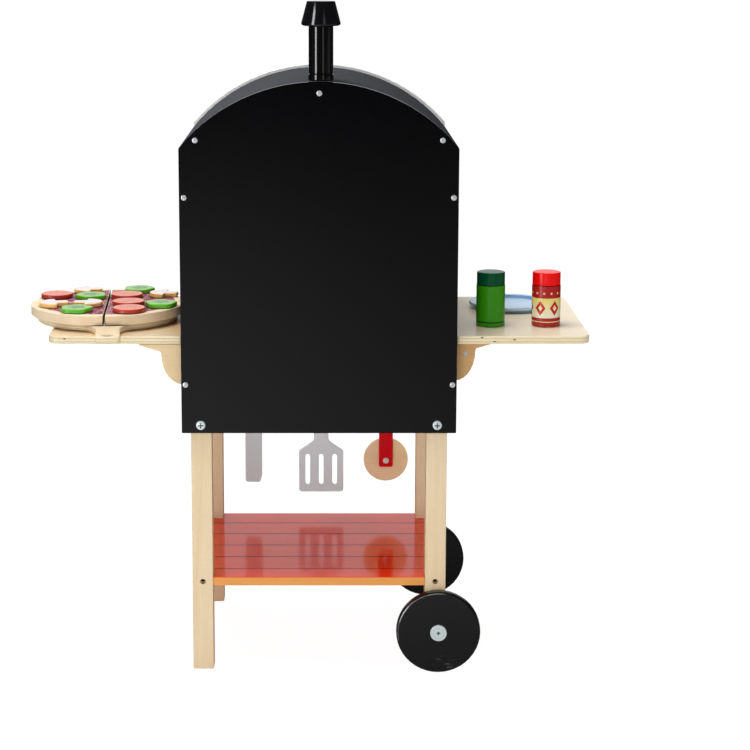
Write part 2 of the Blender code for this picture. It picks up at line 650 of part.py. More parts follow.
def make_shelf():
    """The lower shelf, grooved across into planks and notched round the four legs."""
    half = FRAME_DEPTH / 2 - SHELF_EDGE_INSET
    top = SHELF_THICKNESS / 2
    grooves = []
    for index in range(PLANK_GROOVE_COUNT):
        y = ((PLANK_GROOVE_COUNT - 1) / 2 - index) * PLANK_WIDTH + PLANK_GROOVE_SHIFT
        lip = PLANK_GROOVE_WIDTH / 2
        grooves += [(y + lip, top, 0), (y, top - PLANK_GROOVE_DEPTH, 0), (y - lip, top, 0)]
    outline = rounded([
        (half, -top, SHELF_EDGE_ROUND),
        (half, top, SHELF_EDGE_ROUND),
        *grooves,
        (-half, top, SHELF_EDGE_ROUND),
        (-half, -top, SHELF_EDGE_ROUND),
    ], steps=FINE_ROUND_STEPS)
    width = 2 * LEG_X + LEG_WIDTH
    mesh = board_mesh("shelf_board", outline, width, facing="X")
    place = (0, FRAME_MIDDLE_Y, SHELF_HEIGHT - top)
    shelf = add_piece("shelf_board", mesh, "shelf_red", place)
    notch_width = 2 * (LEG_WIDTH + SEAT_GAP)
    notch = box_mesh("leg_notch", (notch_width, notch_width, SHELF_THICKNESS + 2 * OVERRUN))
    for side in (-1, 1):
        for y in (FRAME_Y0, FRAME_Y1):
            add_cut(shelf, add_cutter("leg_notch", notch, (side * width / 2, y, SHELF_HEIGHT - top)))


def make_tables():
    """Two ply tables that stand off the oven's sides, with rounded outer corners."""
    for side, name in ((-1, "left_table"), (1, "right_table")):
        half_width, half_depth = TABLE_WIDTH / 2, TABLE_DEPTH / 2
        outline = rounded([
            (-side * half_width, -half_depth, TABLE_INNER_CORNER_RADIUS),
            (side * half_width, -half_depth, TABLE_CORNER_RADIUS),
            (side * half_width, half_depth, TABLE_CORNER_RADIUS),
            (-side * half_width, half_depth, TABLE_INNER_CORNER_RADIUS),
        ])
        mesh = board_mesh(name, outline, TABLE_THICKNESS, facing="Z")
        place = (
            side * (TABLE_INNER_X + half_width),
            TABLE_REAR_INSET + half_depth,
            TABLE_HEIGHT - TABLE_THICKNESS / 2,
        )
        table = add_piece(name, mesh, "birch_ply", place)
        add_bevel(table, TABLE_EDGE_ROUND, ROUND_STEPS)


def bracket_outline(side):
    """A bracket under a table: a tapering arm that turns down into a rounded lobe."""
    arm = rounded([
        (0, 0, 0),
        (BRACKET_ARM, 0, 0),
        (BRACKET_ARM, -BRACKET_TIP, 0),
        (BRACKET_LOBE_WIDTH, -BRACKET_ROOT, BRACKET_FILLET),
        (BRACKET_LOBE_WIDTH, -BRACKET_DROP, 0),
    ])[:-1]
    bottom = BRACKET_DROP - max(BRACKET_LOBE_TOP, -arm[-1][1])
    steps = ARCH_STEPS // 4
    turns = [math.pi / 2 * k / steps for k in range(1, steps + 1)]
    lobe = [
        (BRACKET_LOBE_WIDTH * math.cos(t), bottom * (1 - math.sin(t)) - BRACKET_DROP) for t in turns
    ]
    return [(side * across, up) for across, up in (*arm, *lobe)]


def make_cleats_and_brackets():
    """Under each table a cleat along the oven's side, with a bracket on each of its ends."""
    top = TABLE_UNDERSIDE - SEAT_GAP
    sides = ((-1, "left", LEFT_BRACKET_INSET), (1, "right", RIGHT_BRACKET_INSET))
    for side, name, inset in sides:
        rear = TABLE_REAR_INSET + inset
        front = TABLE_FRONT_Y - inset
        for end, y in (("rear", rear + BRACKET_THICKNESS / 2), ("front", front - BRACKET_THICKNESS / 2)):
            bracket_name = f"{name}_{end}_bracket"
            mesh = board_mesh(bracket_name, bracket_outline(side), BRACKET_THICKNESS)
            bracket = add_piece(bracket_name, mesh, "beech", (side * TABLE_INNER_X, y, top))
            add_bevel(bracket, BRACKET_EDGE_ROUND)
        cleat_name = f"{name}_cleat"
        length = front - rear - 2 * (BRACKET_THICKNESS + SEAT_GAP)
        mesh = box_mesh(cleat_name, (CLEAT_WIDTH, length, CLEAT_HEIGHT))
        place = (side * (TABLE_INNER_X + CLEAT_WIDTH / 2), (rear + front) / 2, top - CLEAT_HEIGHT / 2)
        cleat = add_piece(cleat_name, mesh, "beech", place)
        add_bevel(cleat, CLEAT_EDGE_ROUND)


def make_chimney():
    """A turned post doweled through the roof into the ridge batten, under a flared cap."""
    foot = APEX_HEIGHT + SEAT_GAP
    pipe_top = CHIMNEY_TOP_HEIGHT - CAP_HEIGHT - SEAT_GAP
    collar = foot + CHIMNEY_COLLAR_HEIGHT
    groove = CHIMNEY_RADIUS - CHIMNEY_GROOVE
    spigot_top = pipe_top + DOWEL_LENGTH
    pipe = [
        (0, spigot_top),
        (DOWEL_RADIUS, spigot_top),
        (DOWEL_RADIUS, pipe_top),
        *edge_round(CHIMNEY_RADIUS, pipe_top, CHIMNEY_GROOVE, True),
        (CHIMNEY_RADIUS, collar + CHIMNEY_GROOVE),
        (groove, collar),
        *edge_round(CHIMNEY_COLLAR_RADIUS, collar - CHIMNEY_GROOVE / 2, CHIMNEY_GROOVE, True),
        *edge_round(CHIMNEY_COLLAR_RADIUS, foot, CHIMNEY_GROOVE, False),
        (DOWEL_RADIUS, foot),
        (DOWEL_RADIUS, APEX_HEIGHT - DOWEL_LENGTH),
        (0, APEX_HEIGHT - DOWEL_LENGTH),
    ]
    mesh = turned_mesh("chimney_pipe", pipe)
    add_piece("chimney_pipe", mesh, "black_gloss", (CHIMNEY_X, CHIMNEY_Y, 0))
    cap_foot = CHIMNEY_TOP_HEIGHT - CAP_HEIGHT
    bore_top = spigot_top + SEAT_GAP
    bore = DOWEL_RADIUS + BORE_GAP
    cap = [
        (0, CHIMNEY_TOP_HEIGHT),
        *edge_round(CAP_TOP_RADIUS, CHIMNEY_TOP_HEIGHT, CAP_TOP_ROUND, True),
        *edge_round(CAP_BOTTOM_RADIUS, cap_foot, CAP_ROUND, False),
        (bore, cap_foot),
        (bore, bore_top),
        (0, bore_top),
    ]
    mesh = turned_mesh("chimney_cap", cap)
    add_piece("chimney_cap", mesh, "black_gloss", (CHIMNEY_X, CHIMNEY_Y, 0))


def headed_pin(head_radius, head_height, head_round, shank_radius, shank_length):
    """Profile of a bolt or screw, from the face of its head down to the tip of its shank."""
    return [
        (0, head_height),
        *edge_round(head_radius, head_height, head_round, True),
        (head_radius, 0),
        (shank_radius, 0),
        (shank_radius, -shank_length),
        (0, -shank_length),
    ]


def make_wheels():
    """Two wheels outside the right legs, each turning on a shouldered bolt in its leg."""
    half = WHEEL_THICKNESS / 2
    bore = AXLE_RADIUS + BORE_GAP
    wheel_profile = [
        (bore, half),
        *edge_round(WHEEL_RADIUS, half, WHEEL_ROUND, True, FINE_ROUND_STEPS),
        *edge_round(WHEEL_RADIUS, -half, WHEEL_ROUND, False, FINE_ROUND_STEPS),
        (bore, -half),
    ]
    shank = WHEEL_THICKNESS + WHEEL_LEG_GAP + AXLE_HEAD_GAP + AXLE_DEPTH_IN_LEG
    bolt_profile = [
        (0, AXLE_HEAD_THICKNESS - DRIVE_DEPTH),
        (DRIVE_RADIUS, AXLE_HEAD_THICKNESS - DRIVE_DEPTH),
        (DRIVE_RADIUS, AXLE_HEAD_THICKNESS),
        *headed_pin(AXLE_HEAD_RADIUS, AXLE_HEAD_THICKNESS, AXLE_HEAD_ROUND, AXLE_RADIUS, shank)[1:],
    ]
    for end, leg_face, outward in (("rear", FRAME_Y0, -1), ("front", FRAME_Y1, 1)):
        y = leg_face + outward * (WHEEL_LEG_GAP + half)
        wheel_name = f"{end}_wheel"
        mesh = turned_mesh(wheel_name, wheel_profile, along="Y", steps=WHEEL_STEPS)
        add_piece(wheel_name, mesh, "black_gloss", (WHEEL_X, y, WHEEL_RADIUS))
        bolt_name = f"{end}_wheel_bolt"
        mesh = turned_mesh(bolt_name, bolt_profile, along="Y", steps=SMALL_TURN_STEPS)
        if outward > 0:
            mesh.transform(Matrix.Rotation(math.pi, 4, "Z"))
        seat = y + outward * (half + AXLE_HEAD_GAP)
        add_piece(bolt_name, mesh, "zinc", (WHEEL_X, seat, WHEEL_RADIUS))


def make_panel_bolts():
    """Two round-headed bolts that hold the back panel to the rear legs."""
    profile = headed_pin(BOLT_HEAD_RADIUS, BOLT_HEAD_HEIGHT, BOLT_HEAD_ROUND, BOLT_RADIUS, BOLT_LENGTH)
    for side, name in ((-1, "left_panel_bolt"), (1, "right_panel_bolt")):
        mesh = turned_mesh(name, profile, along="Y", steps=SMALL_TURN_STEPS)
        add_piece(name, mesh, "zinc", (side * LEG_X, -SEAT_GAP, BOLT_HEIGHT))


def make_pegs():
    """Round-nosed dowels in the front panel, one for each utensil."""
    profile = [
        (0, PEG_LENGTH),
        *edge_round(PEG_RADIUS, PEG_LENGTH, PEG_ROUND, True),
        (PEG_RADIUS, -PEG_DEPTH_IN_PANEL),
        (0, -PEG_DEPTH_IN_PANEL),
    ]
    places = ((KNIFE_PEG_X, "knife_peg"), (SPATULA_PEG_X, "spatula_peg"), (CUTTER_PEG_X, "cutter_peg"))
    for x, name in places:
        mesh = turned_mesh(name, profile, along="Y", steps=SMALL_TURN_STEPS)
        mesh.transform(Matrix.Rotation(math.pi, 4, "Z"))
        add_piece(name, mesh, "beech", (x, FRONT_Y1, PEG_HEIGHT))


def hanging_hole():
    """The hole that a utensil hangs by: the peg bears on its upper side."""
    drop = UTENSIL_HOLE_RADIUS - PEG_RADIUS - BORE_GAP
    return arc((0, -drop), UTENSIL_HOLE_RADIUS, 0, 360, SMALL_TURN_STEPS)[:-1]


def make_knife():
    half = KNIFE_WIDTH / 2
    grip = KNIFE_HANDLE_WIDTH / 2
    end = UTENSIL_HEAD - KNIFE_LENGTH
    heel = UTENSIL_HEAD - KNIFE_HANDLE_LENGTH
    outline = rounded([
        (-grip, UTENSIL_HEAD, grip * HANDLE_END_SHARE),
        (-grip, heel, 0),
        (-half, heel - KNIFE_HEEL_SLANT, 0),
        (-half, end, KNIFE_CORNER_RADIUS),
        (half - KNIFE_TIP_RUN, end, KNIFE_TIP_RADIUS),
        (half, end + KNIFE_TIP_RISE, KNIFE_CORNER_RADIUS),
        (half, heel - KNIFE_HEEL_SLANT, 0),
        (grip, heel, 0),
        (grip, UTENSIL_HEAD, grip * HANDLE_END_SHARE),
    ])
    mesh = board_mesh("knife", outline, UTENSIL_THICKNESS, holes=(hanging_hole(),))
    knife = add_piece("knife", mesh, "grey_paint", (KNIFE_PEG_X, UTENSIL_Y, PEG_HEIGHT))
    add_bevel(knife, UTENSIL_EDGE_ROUND)


def make_spatula():
    """A broad slotted blade that narrows over two slanting shoulders into its neck."""
    neck = SPATULA_NECK_WIDTH / 2
    half = SPATULA_BLADE_WIDTH / 2
    end = UTENSIL_HEAD - SPATULA_LENGTH
    shoulder = end + SPATULA_BLADE_LENGTH
    outline = rounded([
        (-neck, UTENSIL_HEAD, neck * HANDLE_END_SHARE),
        (-neck, shoulder + SPATULA_SHOULDER, SPATULA_NECK_FILLET),
        (-half, shoulder, SPATULA_SHOULDER_ROUND),
        (-half, end, SPATULA_CORNER_RADIUS),
        (half, end, SPATULA_CORNER_RADIUS),
        (half, shoulder, SPATULA_SHOULDER_ROUND),
        (neck, shoulder + SPATULA_SHOULDER, SPATULA_NECK_FILLET),
        (neck, UTENSIL_HEAD, neck * HANDLE_END_SHARE),
    ])
    low = end + SPATULA_SLOT_END
    high = low + SPATULA_SLOT_LENGTH
    radius = SPATULA_SLOT_WIDTH / 2
    slots = []
    for place in (-1, 0, 1):
        x = place * SPATULA_SLOT_PITCH
        slots.append([
            *arc((x, high - radius), radius, 0, 180, CORNER_STEPS + 1),
            *arc((x, low + radius), radius, 180, 360, CORNER_STEPS + 1),
        ])
    mesh = board_mesh("spatula", outline, UTENSIL_THICKNESS, holes=(hanging_hole(), *slots))
    spatula = add_piece("spatula", mesh, "grey_paint", (SPATULA_PEG_X, UTENSIL_Y, PEG_HEIGHT))
    add_bevel(spatula, UTENSIL_EDGE_ROUND)


def make_cutter():
    """A pizza cutter: a flat handle, a wooden wheel in front of it and the screw it turns on."""
    half = CUTTER_HANDLE_WIDTH / 2
    end = -CUTTER_AXLE_DROP - CUTTER_HANDLE_TAIL
    outline = rounded([
        (-half, UTENSIL_HEAD, half * HANDLE_END_SHARE),
        (-half, end, CUTTER_CORNER_RADIUS),
        (half, end, CUTTER_CORNER_RADIUS),
        (half, UTENSIL_HEAD, half * HANDLE_END_SHARE),
    ])
    bore = arc((0, -CUTTER_AXLE_DROP), CUTTER_SCREW_RADIUS + BORE_GAP, 0, 360, SMALL_TURN_STEPS)[:-1]
    mesh = board_mesh("cutter_handle", outline, UTENSIL_THICKNESS, holes=(hanging_hole(), bore))
    handle = add_piece("cutter_handle", mesh, "red_paint", (CUTTER_PEG_X, UTENSIL_Y, PEG_HEIGHT))
    add_bevel(handle, UTENSIL_EDGE_ROUND)

    axle_height = PEG_HEIGHT - CUTTER_AXLE_DROP
    wheel_half = CUTTER_WHEEL_THICKNESS / 2
    wheel_bore = CUTTER_SCREW_RADIUS + BORE_GAP
    profile = [
        (wheel_bore, wheel_half),
        *edge_round(CUTTER_WHEEL_RADIUS, wheel_half, CUTTER_WHEEL_ROUND, True),
        *edge_round(CUTTER_WHEEL_RADIUS, -wheel_half, CUTTER_WHEEL_ROUND, False),
        (wheel_bore, -wheel_half),
    ]
    wheel_y = UTENSIL_Y + UTENSIL_THICKNESS / 2 + CUTTER_WHEEL_GAP + wheel_half
    mesh = turned_mesh("cutter_wheel", profile, along="Y")
    add_piece("cutter_wheel", mesh, "beech", (CUTTER_PEG_X, wheel_y, axle_height))

    # The screw's head bears on the back of the handle, and its nut on the front of the wheel.
    head, rise = CUTTER_SCREW_HEAD_RADIUS, CUTTER_SCREW_HEAD_HEIGHT
    back = UTENSIL_THICKNESS / 2 + SEAT_GAP
    front = UTENSIL_THICKNESS / 2 + CUTTER_WHEEL_GAP + CUTTER_WHEEL_THICKNESS + SEAT_GAP
    screw = [
        (0, back + rise),
        *edge_round(head, back + rise, CUTTER_SCREW_HEAD_ROUND, True),
        (head, back),
        (CUTTER_SCREW_RADIUS, back),
        (CUTTER_SCREW_RADIUS, -front),
        (head, -front),
        *edge_round(head, -front - rise, CUTTER_SCREW_HEAD_ROUND, False),
        (0, -front - rise),
    ]
    mesh = turned_mesh("cutter_screw", screw, along="Y", steps=SMALL_TURN_STEPS)
    add_piece("cutter_screw", mesh, "zinc", (CUTTER_PEG_X, UTENSIL_Y, axle_height))


def peel_outline():
    """A round blade that runs through two hollow curves into a short handle towards -Y."""
    half = PEEL_HANDLE_WIDTH / 2
    reach = PEEL_RADIUS + PEEL_FILLET_RADIUS
    across = half + PEEL_FILLET_RADIUS
    along = -math.sqrt(reach ** 2 - across ** 2)
    turn = math.degrees(math.atan2(-along, across))
    blade = arc((0, 0), PEEL_RADIUS, -turn, 180 + turn, 2 * ARCH_STEPS)
    left = arc((-across, along), PEEL_FILLET_RADIUS, turn, 0, 2 * CORNER_STEPS)
    right = arc((across, along), PEEL_FILLET_RADIUS, 180, 180 - turn, 2 * CORNER_STEPS)
    end = PEEL_END_RADIUS
    left_end = arc((-half + end, -PEEL_REACH + end), end, 180, 270, CORNER_STEPS)
    right_end = arc((half - end, -PEEL_REACH + end), end, 270, 360, CORNER_STEPS)
    return [*blade[:-1], *left, *left_end, *right_end, *right[:-1]]


def make_peel():
    hole = arc((0, PEEL_HOLE_INSET - PEEL_REACH), PEEL_HOLE_RADIUS, 0, 360, SMALL_TURN_STEPS)[:-1]
    mesh = board_mesh("pizza_peel", peel_outline(), PEEL_THICKNESS, facing="Z", holes=(hole,))
    place = (PIZZA_X, PIZZA_Y, TABLE_HEIGHT + SEAT_GAP + PEEL_THICKNESS / 2)
    peel = add_piece("pizza_peel", mesh, "birch_ply", place, PEEL_TURN_DEG)
    add_bevel(peel, PEEL_EDGE_ROUND)


def make_slices():
    """The pizza, cut through its middle into equal slices with a saw cut between them."""
    half_cut = PIZZA_CUT_WIDTH / 2
    sweep = 360 / SLICE_COUNT
    # Both straight sides lie half a cut inside their own radius.
    inner_turn = math.degrees(math.asin(half_cut / PIZZA_RADIUS))
    apex = half_cut / math.sin(math.radians(sweep / 2))
    apex_turn = math.radians(sweep / 2)
    steps = ARCH_STEPS // 2
    outline = [
        (apex * math.cos(apex_turn), apex * math.sin(apex_turn)),
        *arc((0, 0), PIZZA_RADIUS, inner_turn, sweep - inner_turn, steps),
    ]
    place = (PIZZA_X, PIZZA_Y, PEEL_TOP + SEAT_GAP + PIZZA_THICKNESS / 2)
    names = ("front_right", "front_left", "rear_left", "rear_right")
    for index in range(SLICE_COUNT):
        name = f"{names[index]}_slice"
        mesh = board_mesh(name, outline, PIZZA_THICKNESS, facing="Z")
        slice_piece = add_piece(name, mesh, "pizza_wood", place, PIZZA_TURN_DEG + index * sweep)
        add_bevel(slice_piece, PIZZA_ROUND)


def tomato_outline():
    return arc((0, 0), TOMATO_RADIUS, 0, 360, TOPPING_STEPS)[:-1]


def pepper_outline():
    """A ring of pepper: a circle with soft lobes."""
    turns = [2 * math.pi * k / TOPPING_STEPS for k in range(TOPPING_STEPS)]
    radii = [PEPPER_RADIUS + PEPPER_LOBE * math.cos(PEPPER_LOBE_COUNT * t) for t in turns]
    return [(radius * math.cos(t), radius * math.sin(t)) for radius, t in zip(radii, turns)]


def mushroom_outline():
    """A mushroom cut down its middle: a half-round cap over a straight stem."""
    half = MUSHROOM_CAP_WIDTH / 2
    stem = MUSHROOM_STEM_WIDTH / 2
    # The shape is centred between the crown of its cap and the foot of its stem.
    rim = (MUSHROOM_STEM_LENGTH - MUSHROOM_CAP_HEIGHT) / 2
    foot = rim - MUSHROOM_STEM_LENGTH
    steps = TOPPING_STEPS // 2
    turns = [math.pi * k / steps for k in range(1, steps)]
    cap = [(half * math.cos(t), rim + MUSHROOM_CAP_HEIGHT * math.sin(t), 0) for t in turns]
    return rounded([
        *cap,
        (-half, rim, MUSHROOM_FILLET / 2),
        (-stem, rim, MUSHROOM_FILLET),
        (-stem, foot, MUSHROOM_FILLET),
        (stem, foot, MUSHROOM_FILLET),
        (stem, rim, MUSHROOM_FILLET),
        (half, rim, MUSHROOM_FILLET / 2),
    ], steps=ROUND_STEPS)


def make_toppings():
    outlines = {"tomato": tomato_outline(), "pepper": pepper_outline(), "mushroom": mushroom_outline()}
    finishes = {"tomato": "tomato_red", "pepper": "pepper_green", "mushroom": "mushroom_white"}
    turn = math.radians(PIZZA_TURN_DEG)
    height = PIZZA_TOP + SEAT_GAP + TOPPING_THICKNESS / 2
    for kind, places in TOPPING_PLACES.items():
        for number, (across, along, own_turn) in enumerate(places, 1):
            name = f"{kind}_{number}"
            mesh = board_mesh(name, outlines[kind], TOPPING_THICKNESS, facing="Z")
            x = PIZZA_X + across * math.cos(turn) - along * math.sin(turn)
            y = PIZZA_Y + across * math.sin(turn) + along * math.cos(turn)
            topping = add_piece(name, mesh, finishes[kind], (x, y, height), PIZZA_TURN_DEG + own_turn)
            add_bevel(topping, TOPPING_ROUND)


def make_plate():
    floor = PLATE_HEIGHT - PLATE_RECESS
    rim_inner = PLATE_RADIUS - PLATE_RIM_WIDTH
    profile = [
        (0, floor),
        (rim_inner - PLATE_WALL_RUN, floor),
        (rim_inner, PLATE_HEIGHT),
        *edge_round(PLATE_RADIUS, PLATE_HEIGHT, PLATE_ROUND, True),
        (PLATE_RADIUS, PLATE_HEIGHT - PLATE_RECESS),
        *edge_round(PLATE_FOOT_RADIUS, 0, PLATE_ROUND, False),
        (0, 0),
    ]
    mesh = turned_mesh("plate", profile)
    place = (HALF_WIDTH + PLATE_OUT, PLATE_Y, TABLE_HEIGHT + SEAT_GAP)
    add_piece("plate", mesh, "plate_blue", place)


def make_shakers():
    """Two turned shakers, each with a lid plugged onto the spigot of its body."""
    shoulder = SHAKER_BODY_HEIGHT
    spigot_top = shoulder + SHAKER_SPIGOT_HEIGHT
    inner = SHAKER_RADIUS - SHAKER_RING_DEPTH
    ring_low = SHAKER_RING_HEIGHT - SHAKER_RING_DEPTH
    ring_high = SHAKER_RING_HEIGHT + SHAKER_RING_DEPTH
    body = [
        (0, spigot_top),
        (SHAKER_SPIGOT_RADIUS, spigot_top),
        (SHAKER_SPIGOT_RADIUS, shoulder),
        *edge_round(SHAKER_RADIUS, shoulder, SHAKER_ROUND / 2, True),
        (SHAKER_RADIUS, ring_high),
        (inner, SHAKER_RING_HEIGHT),
        (SHAKER_RADIUS, ring_low),
        *edge_round(SHAKER_RADIUS, 0, SHAKER_ROUND, False),
        (0, 0),
    ]
    bore = SHAKER_SPIGOT_RADIUS + BORE_GAP
    bore_top = SHAKER_SPIGOT_HEIGHT + SEAT_GAP
    lid = [
        (0, SHAKER_LID_HEIGHT),
        *edge_round(SHAKER_LID_RADIUS, SHAKER_LID_HEIGHT, SHAKER_ROUND, True),
        *edge_round(SHAKER_LID_RADIUS, 0, SHAKER_ROUND / 2, False),
        (bore, 0),
        (bore, bore_top),
        (0, bore_top),
    ]
    base = TABLE_HEIGHT + SEAT_GAP
    for colour, out in (("green", GREEN_SHAKER_OUT), ("red", RED_SHAKER_OUT)):
        x = HALF_WIDTH + out
        mesh = turned_mesh(f"{colour}_shaker", body)
        add_piece(f"{colour}_shaker", mesh, f"shaker_{colour}", (x, SHAKER_Y, base))
        mesh = turned_mesh(f"{colour}_shaker_lid", lid)
        lid_place = (x, SHAKER_Y, base + shoulder + SEAT_GAP)
        add_piece(f"{colour}_shaker_lid", mesh, f"lid_{colour}", lid_place)


clear_scene()
PIECES = new_collection("toy_pizza_oven")
CUTTERS = new_collection("cutters")
TOY = bpy.data.objects.new("toy_pizza_oven_centre", None)
TOY.location = (-MIDDLE_X, -MIDDLE_Y, 0)
PIECES.objects.link(TOY)
make_back_panel()
make_front_panel()
make_side_panels()
make_roof()
make_battens()
make_oven_floor()
make_legs()
make_shelf()
make_tables()
make_cleats_and_brackets()
make_chimney()
make_wheels()
make_panel_bolts()
make_pegs()
make_knife()
make_spatula()
make_cutter()
make_peel()
make_slices()
make_toppings()
make_plate()
make_shakers()
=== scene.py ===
"""Looks of the toy pizza oven: camera, light and a procedural material for every piece."""
import math

import bmesh
import bpy
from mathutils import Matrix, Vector


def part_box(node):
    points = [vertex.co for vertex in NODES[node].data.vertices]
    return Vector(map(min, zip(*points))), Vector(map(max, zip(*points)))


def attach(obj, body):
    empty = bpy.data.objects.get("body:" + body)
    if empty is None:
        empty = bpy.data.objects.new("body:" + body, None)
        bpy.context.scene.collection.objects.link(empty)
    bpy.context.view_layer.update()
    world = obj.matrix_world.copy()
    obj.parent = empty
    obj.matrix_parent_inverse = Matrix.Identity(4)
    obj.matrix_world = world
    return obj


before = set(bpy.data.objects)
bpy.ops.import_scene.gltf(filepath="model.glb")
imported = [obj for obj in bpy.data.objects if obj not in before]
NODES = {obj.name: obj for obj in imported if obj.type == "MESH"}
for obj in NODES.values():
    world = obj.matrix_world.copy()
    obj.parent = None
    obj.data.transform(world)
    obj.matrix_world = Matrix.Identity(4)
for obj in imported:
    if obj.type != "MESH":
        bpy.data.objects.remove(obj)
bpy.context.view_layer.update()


# The oven's own plan: X = 0 in the middle of the back panel, Y = 0 at its outer face.
PANEL_LOW, PANEL_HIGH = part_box("back_panel")
PLAN_X = (PANEL_LOW.x + PANEL_HIGH.x) / 2
PLAN_Y = PANEL_LOW.y


def plan(x, y, z):
    """A place given in the oven's own plan, as a place in the frame that all pieces share."""
    return Vector((PLAN_X + x, PLAN_Y + y, z))


def middle_of(name):
    low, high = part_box(name)
    return (low + high) / 2


def srgb(red, green, blue):
    """A colour given in 0 to 255 steps, as linear values with alpha."""
    values = []
    for step in (red, green, blue):
        share = step / 255
        values.append(share / 12.92 if share <= 0.04045 else ((share + 0.055) / 1.055) ** 2.4)
    return (*values, 1.0)


def shaded(colour, factor):
    """A colour made darker or lighter, no lighter than full light."""
    return (*(min(1.0, channel * factor) for channel in colour[:3]), 1.0)


# Camera, fitted to the photograph, with its place in the plan
SENSOR_WIDTH = 36.0
LENS = 94.379
LENS_SHIFT_X = 0.06865
LENS_SHIFT_Y = -0.12
CAMERA_PLACE = (0.0066942, -2.822539, 1.080632)
CAMERA_TILT = 0.17174           # radians below the horizon
CAMERA_NEAR = 0.05
CAMERA_FAR = 200.0

# Lamps: place in the plan, width in metres and power in watts
LAMP_AIM = (0.0, 0.18, 0.45)
LAMPS = {
    "key_light": ((-0.6, -3.4, 0.42), 1.1, 31.0),
    "top_light": ((-0.55, 0.0, 3.1), 1.8, 72.0),
    "front_light": ((-1.9, 3.4, 1.6), 2.4, 44.0),
}
# Tall lamps that only reflections see: place in the plan and power
STRIP_AIM = (0.0, 0.1, 0.9)
STRIP_WIDTH = 0.80
STRIP_HEIGHT = 3.2
STRIPS = {
    "left_strip": ((-2.5, -2.2, 0.9), 90.0),
    "right_strip": ((1.2, -3.2, 0.9), 6.0),
}

# Surroundings
WHITE = (1.0, 1.0, 1.0, 1.0)
AMBIENT_LEVEL = 0.46
BACKDROP_EDGE = (0.88, 0.955)   # the backdrop lies where a direction's Y is above these
BACKDROP_LEVELS = (0.03, 1.0)   # light in reflections on the camera's side and from the backdrop
FLOOR_REACH = 70.0              # from the middle to each side
FLOOR_CELLS = 8
FLOOR_DROP = 0.0005             # the floor lies this far under the feet
FLOOR_COLOUR = (0.86, 0.86, 0.86, 1.0)
FLOOR_GLOW = 1.11
FLOOR_GLOW_SHARE = 0.86         # the rest of what the camera sees keeps the shadow
# Light of the floor in reflections: axis, from, to, level at from and level at to. The levels
# are multiplied, and the first stands twice because it counts squared.
FLOOR_RAMPS = (
    ("Y", -13.0, -1.0, 0.0, 0.78),
    ("Y", -13.0, -1.0, 0.0, 0.78),
    ("Y", -1.0, 0.4, 1.0, 0.06),
    ("X", -0.5, 0.4, 1.70, 0.70),
    ("X", -3.0, -0.8, 0.10, 1.0),
)

# Smoothing of the loaded solids
JOIN_DISTANCE = 0.000005
SMOOTH_ANGLE = math.radians(38.0)

# Sockets of a Mix node that mixes colours
MIX_SHARE = 0
MIX_FIRST = 6
MIX_SECOND = 7
MIX_RESULT = 2

# Wood grain, drawn out along the grain by the stretches
FIGURE_SCALE = 26.0
FIGURE_STRETCH = 0.10
FIGURE_RINGS = 9.0
FIGURE_SHARE = 0.55
FIBRE_SCALE = 420.0
FIBRE_STRETCH = 0.035
FIBRE_SHARE = 0.45
PORE_SCALE = 1300.0
PORE_STRETCH = 0.12
PORE_SHADE = 0.72
PORE_DEPTH = 0.6
WOOD_ROUGHNESS = 0.45
WOOD_ROUGHNESS_CHANGE = 0.06    # either way
WOOD_SPECULAR = 0.35
WOOD_RELIEF = 0.0002
SEED_MOVE = (1.7, 2.3, 3.1)     # how far one seed lies from the next in the grain

# Wood colours: the light and the dark part of the grain
BEECH = (srgb(238, 216, 180), srgb(220, 190, 144))
HIDDEN_BEECH = (srgb(226, 196, 146), srgb(202, 164, 112))
LEFT_BRACKET_BEECH = (srgb(242, 216, 172), srgb(222, 190, 140))
# Painted shade: the right brackets are a darker, browner copy of the left brackets' beech.
SHADED_RIGHT_BRACKET_BEECH = (srgb(222, 180, 124), srgb(198, 148, 94))
PEG_BEECH = (srgb(236, 212, 168), srgb(214, 184, 136))
CUTTER_BEECH = (srgb(252, 230, 188), srgb(236, 204, 156))
PIZZA_BEECH = (srgb(240, 219, 188), srgb(226, 197, 156))
PLY = (srgb(240, 226, 200), srgb(228, 210, 178))
# Painted shade: the left table's ply is a darker, browner copy of the others, for the pizza's shadow on it.
SHADED_LEFT_TABLE_PLY = (srgb(230, 211, 180), srgb(216, 193, 157))
PEEL_PLY = (srgb(232, 212, 180), srgb(218, 192, 152))

# Solid wood: pieces, colours, direction of the grain, first seed, figure and fleck
SOLID_WOOD = (
    (("rear_left_leg", "rear_right_leg", "front_left_leg", "front_right_leg"), BEECH, "Z", 1, 0.55, 0.3),
    (("ridge_batten", "left_shoulder_batten", "right_shoulder_batten", "left_cleat", "right_cleat"),
     HIDDEN_BEECH, "Y", 7, 0.5, 0.4),
    (("left_rear_bracket", "left_front_bracket"), LEFT_BRACKET_BEECH, "X", 13, 0.5, 0.35),
    (("right_rear_bracket", "right_front_bracket"), SHADED_RIGHT_BRACKET_BEECH, "X", 15, 0.6, 0.45),
    (("knife_peg", "spatula_peg", "cutter_peg"), PEG_BEECH, "Y", 21, 0.4, 0.3),
    (("cutter_wheel",), CUTTER_BEECH, "X", 37, 0.5, 0.5),
)

# Ply boards: dark marks in the rear edge, each by its distance from the board's inner end and
# its height above the underside
LEFT_TABLE_MARKS = ((0.1719, 0.0080),)
RIGHT_TABLE_MARKS = ((0.0373, 0.0096), (0.0557, 0.0038), (0.0851, 0.0066))
MARK_HALF_WIDTH = 0.0022
MARK_HALF_HEIGHT = 0.0010
PLY_LAYERS = 5
PEEL_SHADE_FROM = 0.90            # shares of the peel's radius between which its edge turns to painted shade, brown
PEEL_SHADE_TO = 0.96
TABLE_SHADE_REACH = 0.04        # the left table's top gets painted shade, browner, this near to another piece
